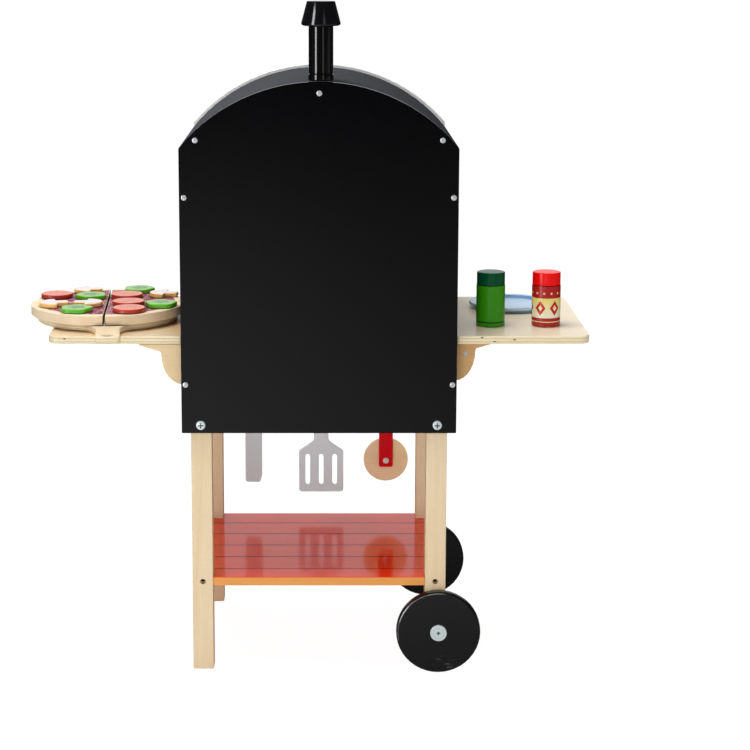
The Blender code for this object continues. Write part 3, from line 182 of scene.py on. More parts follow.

# Sprayed paint
SPRAY_SCALE = 900.0
SPRAY_RELIEF = 0.0001
SPRAY_ROUGHNESS_CHANGE = 0.03   # either way
CLOUD_SCALE = 14.0
CLOUD_DETAIL = 3.0

# Roof
ROOF_LIGHT_FADE = 0.8                 # share of the roof's width over which its painted light fades and it turns darker

# Wheels: a painted highlight just inside the rim, scuffs low on the face
HIGHLIGHT_INSET = 0.0026
HIGHLIGHT_FROM = 0.0004               # from the middle of the line to where it fades
HIGHLIGHT_TO = 0.0010
HIGHLIGHT_CORNER_FROM = 0.045         # up plus left of the hub, where the line begins to show
HIGHLIGHT_CORNER_TO = 0.080
SCUFF_FROM = -0.032             # below the hub
SCUFF_TO = -0.042

# Shelf
PLANK_HALF = 0.030
PLANK_SHIFT = -0.008            # along Y, from the middle of the shelf to its middle groove
GROOVE_FROM = 0.0286            # from the middle of a plank
GROOVE_TO = 0.0293
GROOVED_HALF_DEPTH = 0.140      # no groove lies farther from the middle of the shelf
BARE_EDGE_FROM = 0.150          # the rear and front edges lie farther from the middle than this

# Bolts, with their turned rings and cross recesses
BOLTS = ("left_panel_bolt", "right_panel_bolt", "rear_wheel_bolt", "front_wheel_bolt")
HEAD_RING_SCALE = 5200.0
WHEEL_CROSS_HALF_WIDTH = 0.0008
WHEEL_CROSS_REACH = 0.0029
PANEL_CROSS_HALF_WIDTH = 0.0009
PANEL_CROSS_REACH = 0.0040
BOLT_GROOVE_SPACING = 0.0030
BOLT_GROOVE_SHIFT = 0.0012
BOLT_GROOVE_FROM = 0.0024       # from the middle between two grooves
BOLT_GROOVE_TO = 0.0029
BOLT_GROOVE_DARKNESS = 0.45

# Small screws, with shares of the head's radius and rise
SCREW_STEPS = 32
SCREW_PROFILE = ((1.0, -0.25), (1.0, 0.35), (0.93, 0.62), (0.70, 0.86), (0.36, 0.97))
CROSS_REACH = 0.62
CROSS_HALF_WIDTH = 0.13
CROSS_TAPER = 0.55
CROSS_FLOOR = 0.15
CROSS_OVERRUN = 1.5
SCREW_SMOOTH_ANGLE = math.radians(40)
PANEL_SCREW_RADIUS = 0.0040
PANEL_SCREW_RISE = 0.0009
SMALL_SCREW_RADIUS = 0.0034
SMALL_SCREW_RISE = 0.0008
# X and Z in the plan, and how far the cross is turned in degrees
PANEL_SCREWS = (
    (0.0008, 0.8697, 20),
    (-0.1785, 0.8021, 50),
    (0.1785, 0.8021, 10),
    (-0.1955, 0.7189, 35),
    (0.1955, 0.7189, 65),
    (-0.1963, 0.4419, 5),
    (0.1963, 0.4419, 80),
)
BRACKET_SCREW_IN = 0.0150       # from the bracket's inner end
BRACKET_SCREW_DOWN = 0.0195     # from the bracket's upper edge
BRACKET_SCREW_TURN = 30
LEG_SCREW_DEPTH = 0.0098        # in a leg's recess
LEG_SCREW_TURN = 15

# Utensils
UTENSIL_ROUGHNESS = 0.38

# Pizza and toppings
SLICES = ("front_right_slice", "front_left_slice", "rear_left_slice", "rear_right_slice")
CRUST_WIDTH = 0.0125
CRUST_WOBBLE = 0.0015
SAUCE_SHADE_REACH = 0.011       # sauce and slices get painted shade, darker, this near to another piece
TOMATOES = ("tomato_1", "tomato_2", "tomato_3", "tomato_4")
TOMATO_SKIN_FROM = 0.0195       # from the middle of a slice
TOMATO_SKIN_TO = 0.0215
# the tomato slices get painted shade, darker, this near to another piece
TOMATO_SHADE_REACH = 0.004
PIZZA_TURN = math.radians(3.2)
PEPPER_TURNS = {"pepper_1": 15, "pepper_2": 0, "pepper_3": 40, "pepper_4": 5}
PEPPER_ARMS = 5.0
PEPPER_ARM_LENGTH = 0.0022
PEPPER_SEEDS_FROM = 0.0115
PEPPER_SEEDS_TO = 0.0130
MUSHROOMS = ("mushroom_1", "mushroom_2", "mushroom_3", "mushroom_4")
TOP_FACE = 0.8                  # a face looks up where its normal's Z is above this

# Table ware
PLATE_WALL_RADIUS = 0.0513
PLATE_WALL_HALF = 0.0030
SHAKER_SEAM_HEIGHT = 0.0070
SEAM_FROM = 0.0004              # from the middle of a seam to where it fades
SEAM_TO = 0.0012
SEAMED_DARKEST = 0.92           # shares of the paint's colour
SEAMED_LIGHTEST = 1.07

# Print on the red shaker, with heights above its foot
BAND_HEIGHT = 0.0290
BAND_HALF = 0.0150
YELLOW_FROM = 0.018             # the band turns yellower upwards
YELLOW_TO = 0.040
LOZENGE_COUNT = 6.0
LOZENGE_HALF_WIDTH = 0.36       # as a share of the way from one lozenge to the next
LOZENGE_HALF_HEIGHT = 0.0115
LOZENGE_HEART = 0.40
DOT_COUNT = 12.0
DOT_SPACING = 0.01136
DOT_HEIGHT = 0.0515
DOT_RADIUS = 0.0016
RING_HEIGHT = 0.0080
RING_HALF = 0.0008


def add_object(name, data):
    """A new object in the scene's own collection."""
    thing = bpy.data.objects.new(name, data)
    bpy.context.scene.collection.objects.link(thing)
    return thing


def finished_mesh(shape, name):
    """The mesh of a bmesh, which is freed."""
    mesh = bpy.data.meshes.new(name)
    shape.to_mesh(mesh)
    shape.free()
    return mesh


class Nodes:
    """Short ways to add nodes to a tree and to join them."""

    def __init__(self, tree):
        self.tree = tree

    def put(self, socket, value):
        """Join a socket to another one, or give it a plain value."""
        if isinstance(value, bpy.types.NodeSocket):
            self.tree.links.new(value, socket)
        else:
            socket.default_value = value

    def add(self, kind, inputs=None, **settings):
        """A new node, with its settings made and then its inputs set or joined."""
        node = self.tree.nodes.new(kind)
        for name, value in settings.items():
            setattr(node, name, value)
        for key, value in (inputs or {}).items():
            self.put(node.inputs[key], value)
        return node

    def parts(self, vector, axes):
        """The parts of a vector along each of the axes, such as XZ."""
        node = self.add("ShaderNodeSeparateXYZ", {"Vector": vector})
        return [node.outputs[axis] for axis in axes]

    def part(self, vector, axis):
        return self.parts(vector, axis)[0]

    def calc(self, operation, first, second=0.0):
        node = self.add("ShaderNodeMath", {0: first, 1: second}, operation=operation)
        return node.outputs["Value"]

    def plus(self, first, second):
        return self.calc("ADD", first, second)

    def times(self, first, *others):
        for other in others:
            first = self.calc("MULTIPLY", first, other)
        return first

    def below(self, value, limit):
        """1 where a value is under the limit, and 0 elsewhere."""
        return self.calc("LESS_THAN", value, limit)

    def above(self, value, limit):
        """1 where a value is over the limit, and 0 elsewhere."""
        return self.calc("GREATER_THAN", value, limit)

    def size(self, value):
        """A value without its sign."""
        return self.calc("ABSOLUTE", value)

    def away(self, value, level):
        """How far a value is from a level, either way."""
        return self.size(self.calc("SUBTRACT", value, level))

    def length(self, first, second):
        """The length of a flat vector, from its two parts."""
        return self.calc("SQRT", self.plus(self.times(first, first), self.times(second, second)))

    def span(self, value, low, high, out_low=0.0, out_high=1.0):
        """A value taken from low..high to out_low..out_high, held at both ends."""
        node = self.add("ShaderNodeMapRange", {
            "Value": value,
            "From Min": low,
            "From Max": high,
            "To Min": out_low,
            "To Max": out_high,
        }, clamp=True)
        return node.outputs["Result"]

    def either(self, share, first, second):
        """The first shader where the share is 0, and the second where it is 1."""
        node = self.add("ShaderNodeMixShader", {0: share, 1: first, 2: second})
        return node.outputs["Shader"]


class Finish(Nodes):
    """A Principled material that is painted by places on the piece, in metres."""

    def __init__(self, name, roughness, specular, metallic=0.0):
        self.material = bpy.data.materials.new(name)
        self.material.use_nodes = True
        super().__init__(self.material.node_tree)
        self.shader = self.tree.nodes["Principled BSDF"]
        self.coords = self.add("ShaderNodeTexCoord")
        self.rough(roughness)
        self.put(self.shader.inputs["Specular IOR Level"], specular)
        self.put(self.shader.inputs["Metallic"], metallic)

    def place(self, move=(0, 0, 0), stretch=(1, 1, 1)):
        """The piece's own coordinates, moved and then scaled."""
        node = self.add("ShaderNodeMapping", {
            "Vector": self.coords.outputs["Object"],
            "Location": move,
            "Scale": stretch,
        })
        return node.outputs["Vector"]

    def about(self, centre, turn=0.0):
        """The piece's own coordinates about a centre, turned about Z."""
        node = self.add("ShaderNodeMapping", {
            "Vector": self.coords.outputs["Object"],
            "Location": centre,
            "Rotation": (0.0, 0.0, turn),
        }, vector_type="TEXTURE")
        return node.outputs["Vector"]

    def facing(self, axis):
        """How much a face looks along an axis, from -1 to 1."""
        return self.part(self.coords.outputs["Normal"], axis)

    def noise(self, vector, scale, detail=4.0, roughness=0.55, distortion=0.0):
        node = self.add("ShaderNodeTexNoise", {
            "Vector": vector,
            "Scale": scale,
            "Detail": detail,
            "Roughness": roughness,
            "Distortion": distortion,
        })
        return node.outputs["Fac"]

    def mix(self, share, first, second):
        """The first colour where the share is 0, and the second where it is 1."""
        sockets = {MIX_SHARE: share, MIX_FIRST: first, MIX_SECOND: second}
        return self.add("ShaderNodeMix", sockets, data_type="RGBA").outputs[MIX_RESULT]

    def mottled(self, first, second, scale, detail=4.0, stretch=(1, 1, 1)):
        """Two colours in soft patches."""
        return self.mix(self.noise(self.place(stretch=stretch), scale, detail), first, second)

    def painted_contact_shade(self, tone, dark, reach, low=0.15, high=0.75):
        """Painted shade: the tone, darker in corners and where another piece stands within reach."""
        node = self.add("ShaderNodeAmbientOcclusion", {"Distance": reach}, samples=8)
        return self.mix(self.span(node.outputs["AO"], low, high), dark, tone)

    def colour(self, value):
        self.put(self.shader.inputs["Base Color"], value)

    def rough(self, value):
        self.put(self.shader.inputs["Roughness"], value)

    def bump(self, height, distance, strength):
        node = self.add("ShaderNodeBump", {"Height": height, "Distance": distance, "Strength": strength})
        self.put(self.shader.inputs["Normal"], node.outputs["Normal"])

    def ripple(self, scale, distance, strength):
        """A slightly uneven surface."""
        self.bump(self.noise(self.place(), scale, detail=2.0), distance, strength)

    def spray(self, roughness):
        """The fine pebbled surface of sprayed paint."""
        fine = self.noise(self.place(), SPRAY_SCALE, detail=2.0)
        smoothest = roughness - SPRAY_ROUGHNESS_CHANGE
        roughest = roughness + SPRAY_ROUGHNESS_CHANGE
        self.rough(self.span(fine, 0.3, 0.7, smoothest, roughest))
        self.bump(fine, SPRAY_RELIEF, strength=0.25)


def make_camera():
    """The photograph's camera, level from side to side, with a lens shift for its crop."""
    data = bpy.data.cameras.new("photo_camera")
    data.sensor_width = SENSOR_WIDTH
    data.lens = LENS
    data.shift_x = LENS_SHIFT_X
    data.shift_y = LENS_SHIFT_Y
    data.clip_start = CAMERA_NEAR
    data.clip_end = CAMERA_FAR
    camera = add_object("photo_camera", data)
    camera.location = plan(*CAMERA_PLACE)
    camera.rotation_euler = (math.pi / 2 - CAMERA_TILT, 0.0, 0.0)
    bpy.context.scene.camera = camera


def area_light(name, place, aim, width, power):
    """A soft round lamp, hidden from the camera and from reflections."""
    data = bpy.data.lights.new(name, "AREA")
    data.shape = "DISK"
    data.size = width
    data.energy = power
    lamp = add_object(name, data)
    lamp.location = plan(*place)
    direction = plan(*aim) - plan(*place)
    lamp.rotation_euler = direction.to_track_quat("-Z", "Y").to_euler()
    lamp.visible_camera = False
    lamp.visible_glossy = False
    return lamp


def make_lights():
    """Soft light from behind, above and in front, and streaks for the reflections."""
    for name, (place, width, power) in LAMPS.items():
        area_light(name, place, LAMP_AIM, width, power)
    # Tall narrow lamps show as streaks on the turned and rounded pieces.
    for name, (place, power) in STRIPS.items():
        strip = area_light(name, place, STRIP_AIM, STRIP_WIDTH, power)
        strip.data.shape = "RECTANGLE"
        strip.data.size_y = STRIP_HEIGHT
        strip.visible_glossy = True
        strip.visible_diffuse = False


def make_world():
    """White for the camera, and a plain level of light for everything else."""
    world = bpy.data.worlds.new("studio")
    bpy.context.scene.world = world
    world.use_nodes = True
    world.node_tree.nodes.clear()
    sky = Nodes(world.node_tree)
    rays = sky.add("ShaderNodeLightPath").outputs
    ambient = sky.add("ShaderNodeBackground", {"Color": WHITE, "Strength": AMBIENT_LEVEL})
    # Reflections see the pale backdrop behind the toy and a dimmer room on the camera's side.
    towards = sky.part(sky.add("ShaderNodeTexCoord").outputs["Generated"], "Y")
    level = sky.span(towards, *BACKDROP_EDGE, *BACKDROP_LEVELS)
    mirrored = sky.add("ShaderNodeBackground", {"Strength": level})
    white = sky.add("ShaderNodeBackground", {"Color": WHITE})
    lit = sky.either(rays["Is Glossy Ray"], ambient.outputs["Background"], mirrored.outputs["Background"])
    direct = sky.calc("MAXIMUM", rays["Is Camera Ray"], rays["Is Transmission Ray"])
    sky.add("ShaderNodeOutputWorld", {"Surface": sky.either(direct, lit, white.outputs["Background"])})


def floor_material():
    """White to the camera but for the toy's shadow, and an uneven light in reflections."""
    material = bpy.data.materials.new("studio_floor")
    material.use_nodes = True
    material.node_tree.nodes.clear()
    floor = Nodes(material.node_tree)
    rays = floor.add("ShaderNodeLightPath").outputs
    matte = floor.add("ShaderNodeBsdfDiffuse", {"Color": FLOOR_COLOUR})
    glow = floor.add("ShaderNodeEmission", {"Strength": FLOOR_GLOW})
    share = floor.times(rays["Is Camera Ray"], FLOOR_GLOW_SHARE)
    seen = floor.either(share, matte.outputs["BSDF"], glow.outputs["Emission"])
    # Reflections see it brightest just behind the back panel, and dim farther away.
    place = floor.add("ShaderNodeTexCoord").outputs["Object"]
    levels = [floor.span(floor.part(place, axis), *ramp) for axis, *ramp in FLOOR_RAMPS]
    mirrored = floor.add("ShaderNodeEmission", {"Strength": floor.times(*levels)})
    surface = floor.either(rays["Is Glossy Ray"], seen, mirrored.outputs["Emission"])
    floor.add("ShaderNodeOutputMaterial", {"Surface": surface})
    return material


def make_floor():
    """A wide floor just under the feet."""
    shape = bmesh.new()
    bmesh.ops.create_grid(shape, x_segments=FLOOR_CELLS, y_segments=FLOOR_CELLS, size=FLOOR_REACH)
    floor = add_object("studio_floor", finished_mesh(shape, "studio_floor"))
    floor.location = (0.0, 0.0, -FLOOR_DROP)
    floor.data.materials.append(floor_material())


def smoothing_group():
    """Nodes that join a mesh's loose triangles and shade it smooth between its sharp edges."""
    group = bpy.data.node_groups.new("smooth_by_angle", "GeometryNodeTree")
    for way in ("INPUT", "OUTPUT"):
        group.interface.new_socket("Geometry", in_out=way, socket_type="NodeSocketGeometry")
    steps = Nodes(group)
    mesh = steps.add("NodeGroupInput").outputs[0]
    mesh = steps.add("GeometryNodeMergeByDistance", {"Geometry": mesh, "Distance": JOIN_DISTANCE}).outputs[0]
    mesh = steps.add("GeometryNodeRemoveAttribute", {"Geometry": mesh, "Name": "custom_normal"}).outputs[0]
    mesh = steps.add("GeometryNodeSetShadeSmooth", {"Geometry": mesh}, domain="FACE").outputs[0]
    angle = steps.add("GeometryNodeInputMeshEdgeAngle").outputs["Unsigned Angle"]
    soft = steps.add(
        "FunctionNodeCompare", {"A": angle, "B": SMOOTH_ANGLE}, data_type="FLOAT", operation="LESS_THAN")
    smooth = {"Geometry": mesh, "Shade Smooth": soft.outputs["Result"]}
    mesh = steps.add("GeometryNodeSetShadeSmooth", smooth, domain="EDGE").outputs[0]
    steps.add("NodeGroupOutput", {0: mesh})
    return group


def smooth_nodes():
    """Round faces of the loaded solids shade as round ones, and their flat faces stay flat."""
    group = smoothing_group()
    for node in NODES.values():
        node.modifiers.new("smooth", "NODES").node_group = group
        level = node.modifiers.new("level", "WEIGHTED_NORMAL")
        level.mode = "FACE_AREA_WITH_ANGLE"
        level.keep_sharp = True


def dress(name, finish):
    """Give a node its finish on every one of its slots."""
    node = NODES[name]
    if not node.data.materials:
        node.data.materials.append(finish.material)
    for slot in node.material_slots:
        slot.link = "OBJECT"
        slot.material = finish.material


def clouded(finish, colour, darkest, lightest):
    """A faint change of tone over an even paint."""
    broad = finish.noise(finish.place(), CLOUD_SCALE, CLOUD_DETAIL)
    return finish.mix(broad, shaded(colour, darkest), shaded(colour, lightest))


def paint(name, colour, roughness, specular, mottle=0.05):
    """An even sprayed paint."""
    finish = Finish(name, roughness, specular)
    finish.colour(clouded(finish, colour, 1.0 - mottle, 1.0 + mottle))
    finish.spray(roughness)
    return finish


def seamed_paint(name, node, colour, seam_colour, roughness, specular, seam_height=0.0):
    """An even sprayed paint, darker in a seam at a height above the node's foot."""
    finish = Finish(name, roughness, specular)
    height = finish.part(finish.place(), "Z")
    off_seam = finish.away(height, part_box(node)[0].z + seam_height)
    seam = finish.span(off_seam, SEAM_FROM, SEAM_TO, 1.0, 0.0)
    tone = clouded(finish, colour, SEAMED_DARKEST, SEAMED_LIGHTEST)
    finish.colour(finish.mix(seam, tone, seam_colour))
    finish.spray(roughness)
    return finish


def grain(finish, tones, along, seed, figure, fleck):
    """Grain colour and a height for it: broad figure, fine fibres and short pores."""
    light, dark = tones
    move = [seed * step for step in SEED_MOVE]

    def drawn_out(share):
        """The piece's coordinates, drawn out along the grain."""
        stretch = [1.0, 1.0, 1.0]
        stretch["XYZ".index(along)] = share
        return finish.place(move, stretch)

    broad = drawn_out(FIGURE_STRETCH)
    broad = finish.noise(broad, FIGURE_SCALE, detail=2.0, roughness=0.5, distortion=0.4)
    rings = finish.calc("PINGPONG", finish.times(broad, FIGURE_RINGS), 1.0)
    fibres = finish.noise(drawn_out(FIBRE_STRETCH), FIBRE_SCALE, detail=5.0, roughness=0.65)
    pores = finish.noise(drawn_out(PORE_STRETCH), PORE_SCALE, detail=2.0, roughness=0.5)
    pores = finish.span(pores, 0.60, 0.74)
    tint = finish.plus(
        finish.times(rings, FIGURE_SHARE * figure),
        finish.times(finish.span(fibres, 0.35, 0.70), FIBRE_SHARE * figure))
    tone = finish.mix(tint, light, dark)
    tone = finish.mix(finish.times(pores, fleck), tone, shaded(dark, PORE_SHADE))
    height = finish.calc("SUBTRACT", fibres, finish.times(pores, PORE_DEPTH))
    return tone, height


def solid_wood(name, tones, along, seed, figure, fleck):
    """Bare solid wood, a little smoother on its hard parts than on its soft ones."""
    board = Finish(name, WOOD_ROUGHNESS, WOOD_SPECULAR)
    tone, height = grain(board, tones, along, seed, figure, fleck)
    board.colour(tone)
    roughest = WOOD_ROUGHNESS + WOOD_ROUGHNESS_CHANGE
    smoothest = WOOD_ROUGHNESS - WOOD_ROUGHNESS_CHANGE
    board.rough(board.span(height, 0.2, 0.8, roughest, smoothest))
    board.bump(height, WOOD_RELIEF, strength=0.35)
    return board


def edge_layers(board, low, high):
    """The thin layers of a ply edge, and 1 where a layer is one of the darker ones."""
    layer = (high.z - low.z) / PLY_LAYERS
    height = board.part(board.place(), "Z")
    number = board.calc("DIVIDE", board.calc("SUBTRACT", height, low.z), layer)
    odd = board.above(board.calc("FRACT", board.times(number, 0.5)), 0.5)
    along = {"scale": 500.0, "detail": 3.0, "stretch": (0.2, 0.2, 1.0)}
    pale = board.mottled(srgb(236, 222, 186), srgb(248, 238, 206), **along)
    deep = board.mottled(srgb(220, 196, 150), srgb(234, 214, 174), **along)
    return board.mix(odd, pale, deep), odd


def shaded_rim(board, sides, odd, high):
    """The edge of the peel, in painted shade: browner round its blade, under the pizza, than along its
    handle.
    """
    centre = pizza_centre()
    radius = high.y - centre.y
    x, y = board.parts(board.about((centre.x, centre.y, 0.0)), "XY")
    rim = board.span(board.length(x, y), radius * PEEL_SHADE_FROM, radius * PEEL_SHADE_TO, 1.0, 0.0)
    # Painted shade: the blade's edge under the pizza's overhang is browner.
    brown = board.mix(odd, srgb(194, 150, 104), srgb(172, 126, 78))
    return board.mix(rim, sides, brown)


def edge_marks(board, sides, marks, low, high):
    """The rear edge with its dark marks."""
    inner, outwards = (low.x, 1) if low.x > PLAN_X else (high.x, -1)
    x, z = board.parts(board.place(), "XZ")
    rear = board.below(board.facing("Y"), -0.5)
    for along, height in marks:
        across = board.calc("DIVIDE", board.calc("SUBTRACT", x, inner + outwards * along), MARK_HALF_WIDTH)
        up = board.calc("DIVIDE", board.calc("SUBTRACT", z, low.z + height), MARK_HALF_HEIGHT)
        spot = board.times(board.below(board.length(across, up), 1.0), rear)
        sides = board.mix(spot, sides, srgb(96, 78, 52))
    return sides


def ply(name, tones, seed, marks=(), shaded_blade=False, shade_reach=0.0):
    """Ply with grain on its faces, thin layers along its edges, marks in its rear edge and painted shade
    where asked.
    """
    low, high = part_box(name)
    board = Finish(name + "_ply", roughness=0.30, specular=0.5)
    tone, height = grain(board, tones, "X", seed, figure=0.55, fleck=0.3)
    if shade_reach:
        # Painted shade: the top turns browner where another piece stands within reach.
        tone = board.painted_contact_shade(tone, srgb(198, 158, 110), shade_reach, low=0.35, high=1.0)
    sides, odd = edge_layers(board, low, high)
    # Painted shade on the edge of the peel's blade.
    if shaded_blade:
        sides = shaded_rim(board, sides, odd, high)
    if marks:
        sides = edge_marks(board, sides, marks, low, high)
    edge = board.below(board.size(board.facing("Z")), 0.5)
    board.colour(board.mix(edge, tone, sides))
    board.rough(board.span(height, 0.2, 0.8, out_low=0.36, out_high=0.25))
    board.bump(height, WOOD_RELIEF, strength=0.3)
    return board


def dress_wood():
    """Bare wood: legs, battens, cleats, brackets, pegs, the cutter's wheel and the ply boards."""
    for names, tones, along, first_seed, figure, fleck in SOLID_WOOD:
        for seed, name in enumerate(names, first_seed):
            dress(name, solid_wood(name + "_beech", tones, along, seed, figure, fleck))
    dress("oven_floor", solid_wood("oven_floor_ply", PLY, "X", seed=30, figure=0.5, fleck=0.3))
    left_table = ply(
        "left_table", SHADED_LEFT_TABLE_PLY, seed=31, marks=LEFT_TABLE_MARKS, shade_reach=TABLE_SHADE_REACH)
    dress("left_table", left_table)
    dress("right_table", ply("right_table", PLY, seed=32, marks=RIGHT_TABLE_MARKS))
    dress("pizza_peel", ply("pizza_peel", PEEL_PLY, seed=35, shaded_blade=True))


def dress_panels():
    """Black lacquer on the back and the sides, white on the front."""
    black = paint("black_lacquer", srgb(3, 3, 5), roughness=0.17, specular=0.30, mottle=0.10)
    for name in ("back_panel", "left_side_panel", "right_side_panel"):
        dress(name, black)
    white = paint("white_lacquer", srgb(238, 238, 235), roughness=0.35, specular=0.4, mottle=0.01)
    dress("front_panel", white)


def dress_roof():
    """A matt grey sheet with a fine grain, and painted light that makes it paler towards its left end."""
    roof = Finish("roof_grey", roughness=0.70, specular=0.0)
    pale = roof.mottled(srgb(64, 65, 68), srgb(72, 73, 76), scale=9.0, detail=2.0)
    deep = roof.mottled(srgb(44, 46, 49), srgb(52, 54, 57), scale=9.0, detail=2.0)
    low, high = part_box("roof_sheet")
    x = roof.part(roof.place(), "X")
    # Painted light: paler at the left end, as if lit from the left, fading darker to the right.
    tone = roof.mix(roof.span(x, low.x, low.x + ROOF_LIGHT_FADE * (high.x - low.x)), pale, deep)
    specks = roof.noise(roof.place(), scale=1500.0, detail=2.0)
    pale_specks = roof.span(specks, 0.3, 0.7, out_low=0.0, out_high=0.25)
    roof.colour(roof.mix(pale_specks, tone, srgb(88, 89, 93)))
    roof.bump(specks, distance=0.0001, strength=0.3)
    dress("roof_sheet", roof)


def dress_chimney():
    """Thick black gloss on turned wood."""
    gloss = Finish("black_gloss", roughness=0.10, specular=0.5)
    gloss.colour(gloss.mottled(srgb(10, 10, 12), srgb(16, 16, 18), scale=20.0))
    gloss.ripple(scale=260.0, distance=0.0001, strength=0.12)
    for name in ("chimney_pipe", "chimney_cap"):
        dress(name, gloss)


def dress_wheels():
    """Black gloss, with a broken painted highlight inside the upper left of the rim and a few fine scuffs on
    the face.
    """
    tyre = Finish("wheel_gloss", roughness=0.16, specular=0.45)
    tone = tyre.mottled(srgb(10, 10, 11), srgb(15, 15, 16), scale=30.0)
    hub = middle_of("rear_wheel")
    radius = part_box("rear_wheel")[1].x - hub.x
    x, z = tyre.parts(tyre.about((hub.x, 0.0, hub.z)), "XZ")
    off_line = tyre.away(tyre.length(x, z), radius - HIGHLIGHT_INSET)
    line = tyre.span(off_line, HIGHLIGHT_FROM, HIGHLIGHT_TO, 1.0, 0.0)
    upper_left = tyre.span(tyre.calc("SUBTRACT", z, x), HIGHLIGHT_CORNER_FROM, HIGHLIGHT_CORNER_TO)
    broken = tyre.noise(tyre.place(), scale=45.0, detail=2.0)
    broken = tyre.span(broken, 0.40, 0.60, out_low=0.25, out_high=1.0)
    # Painted highlight: a pale broken line inside the upper left of the rim.
    tone = tyre.mix(tyre.times(line, upper_left, broken), tone, srgb(176, 176, 178))
    streak = tyre.noise(tyre.place(stretch=(0.18, 1.0, 1.0)), scale=320.0, detail=2.0)
    patch = tyre.noise(tyre.place(), scale=24.0, detail=1.0)
    low_down = tyre.span(z, SCUFF_FROM, SCUFF_TO)
    scuff = tyre.times(tyre.span(streak, 0.60, 0.66), tyre.span(patch, 0.46, 0.56), low_down)
    tyre.colour(tyre.mix(scuff, tone, srgb(62, 62, 64)))
    tyre.ripple(scale=300.0, distance=0.0001, strength=0.15)
    for name in ("rear_wheel", "front_wheel"):
        dress(name, tyre)


def dress_shelf():
    """Red lacquer, dark in the lines between the planks, with orange rear and front edges."""
    shelf = Finish("shelf_red", roughness=0.11, specular=0.42)
    low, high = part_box("shelf_board")
    middle = (low.y + high.y) / 2
    y = shelf.part(shelf.place(), "Y")
    away = shelf.away(y, middle)
    red = shelf.mottled(srgb(240, 52, 4), srgb(252, 62, 8), scale=120.0, stretch=(0.15, 1, 1))
    folded = shelf.calc("PINGPONG", shelf.plus(y, PLANK_HALF - PLANK_SHIFT - middle), PLANK_HALF)
    top = shelf.above(shelf.facing("Z"), 0.2)
    groove = shelf.span(folded, GROOVE_FROM, GROOVE_TO)
    line = shelf.times(groove, shelf.below(away, GROOVED_HALF_DEPTH), top)
    red = shelf.mix(line, red, srgb(40, 10, 8))
    upright = shelf.above(shelf.size(shelf.facing("Y")), 0.75)
    edge = shelf.times(upright, shelf.above(away, BARE_EDGE_FROM))
    orange = shelf.mottled(srgb(226, 150, 74), srgb(238, 168, 90), scale=300.0, stretch=(0.05, 1, 1))
    shelf.colour(shelf.mix(edge, red, orange))
    dress("shelf_board", shelf)


def wheel_bolt_tone(steel, tone, x, z):
    """A small cross recess in the middle of the head, painted dark as its shade, and faint grooves round it.
    """
    across = steel.length(x, z)
    slim = steel.below(steel.calc("MINIMUM", steel.size(x), steel.size(z)), WHEEL_CROSS_HALF_WIDTH)
    cross = steel.times(slim, steel.below(across, WHEEL_CROSS_REACH))
    tone = steel.mix(cross, tone, srgb(66, 74, 74))
    folded = steel.calc("PINGPONG", steel.plus(across, BOLT_GROOVE_SHIFT), BOLT_GROOVE_SPACING)
    groove = steel.times(steel.span(folded, BOLT_GROOVE_FROM, BOLT_GROOVE_TO), BOLT_GROOVE_DARKNESS)
    return steel.mix(groove, tone, srgb(120, 134, 134))


def panel_bolt_tone(steel, tone, x, z):
    """A cross recess in the head, painted dark as its shade."""
    slim = steel.below(steel.calc("MINIMUM", steel.size(x), steel.size(z)), PANEL_CROSS_HALF_WIDTH)
    short = steel.below(steel.calc("MAXIMUM", steel.size(x), steel.size(z)), PANEL_CROSS_REACH)
    return steel.mix(steel.times(slim, short), tone, srgb(60, 62, 66))


def dress_bolts():
    """Zinc with fine turned rings, on the four bolts and on the cutter's screw."""
    for name in (*BOLTS, "cutter_screw"):
        steel = Finish(name + "_zinc", roughness=0.38, specular=0.5, metallic=0.35)
        x, z = steel.parts(steel.about(middle_of(name)), "XZ")
        tone = steel.mottled(srgb(212, 226, 226), srgb(236, 246, 246), scale=600.0)
        if name.endswith("wheel_bolt"):
            tone = wheel_bolt_tone(steel, tone, x, z)
        if name.endswith("panel_bolt"):
            tone = panel_bolt_tone(steel, tone, x, z)
        steel.colour(tone)
        rings = steel.calc("SINE", steel.times(steel.length(x, z), HEAD_RING_SCALE))
        steel.bump(rings, distance=0.0001, strength=0.3)
        dress(name, steel)


def bridge(shape, first, second):
    """Faces between two rings of as many points."""
    for k in range(len(first)):
        after = (k + 1) % len(first)
        shape.faces.new((first[k], first[after], second[after], second[k]))


def closed_mesh(shape, name):
    """The mesh of a closed bmesh, with its faces turned outwards."""
    bmesh.ops.recalc_face_normals(shape, faces=shape.faces)
    return finished_mesh(shape, name)


def screw_head(name, radius, rise):
    """A domed head that faces -Y, with its seat at the origin."""
    shape = bmesh.new()
    turns = [2 * math.pi * k / SCREW_STEPS for k in range(SCREW_STEPS)]
    loops = []
    for share, lift in SCREW_PROFILE:
        reach = radius * share
        places = [(reach * math.cos(turn), -rise * lift, reach * math.sin(turn)) for turn in turns]
        loops.append([shape.verts.new(place) for place in places])
    for low, high in zip(loops, loops[1:]):
        bridge(shape, low, high)
    tip = shape.verts.new((0.0, -rise, 0.0))
    for k, point in enumerate(loops[-1]):
        shape.faces.new((point, loops[-1][(k + 1) % SCREW_STEPS], tip))
    shape.faces.new(list(reversed(loops[0])))
    return closed_mesh(shape, name)


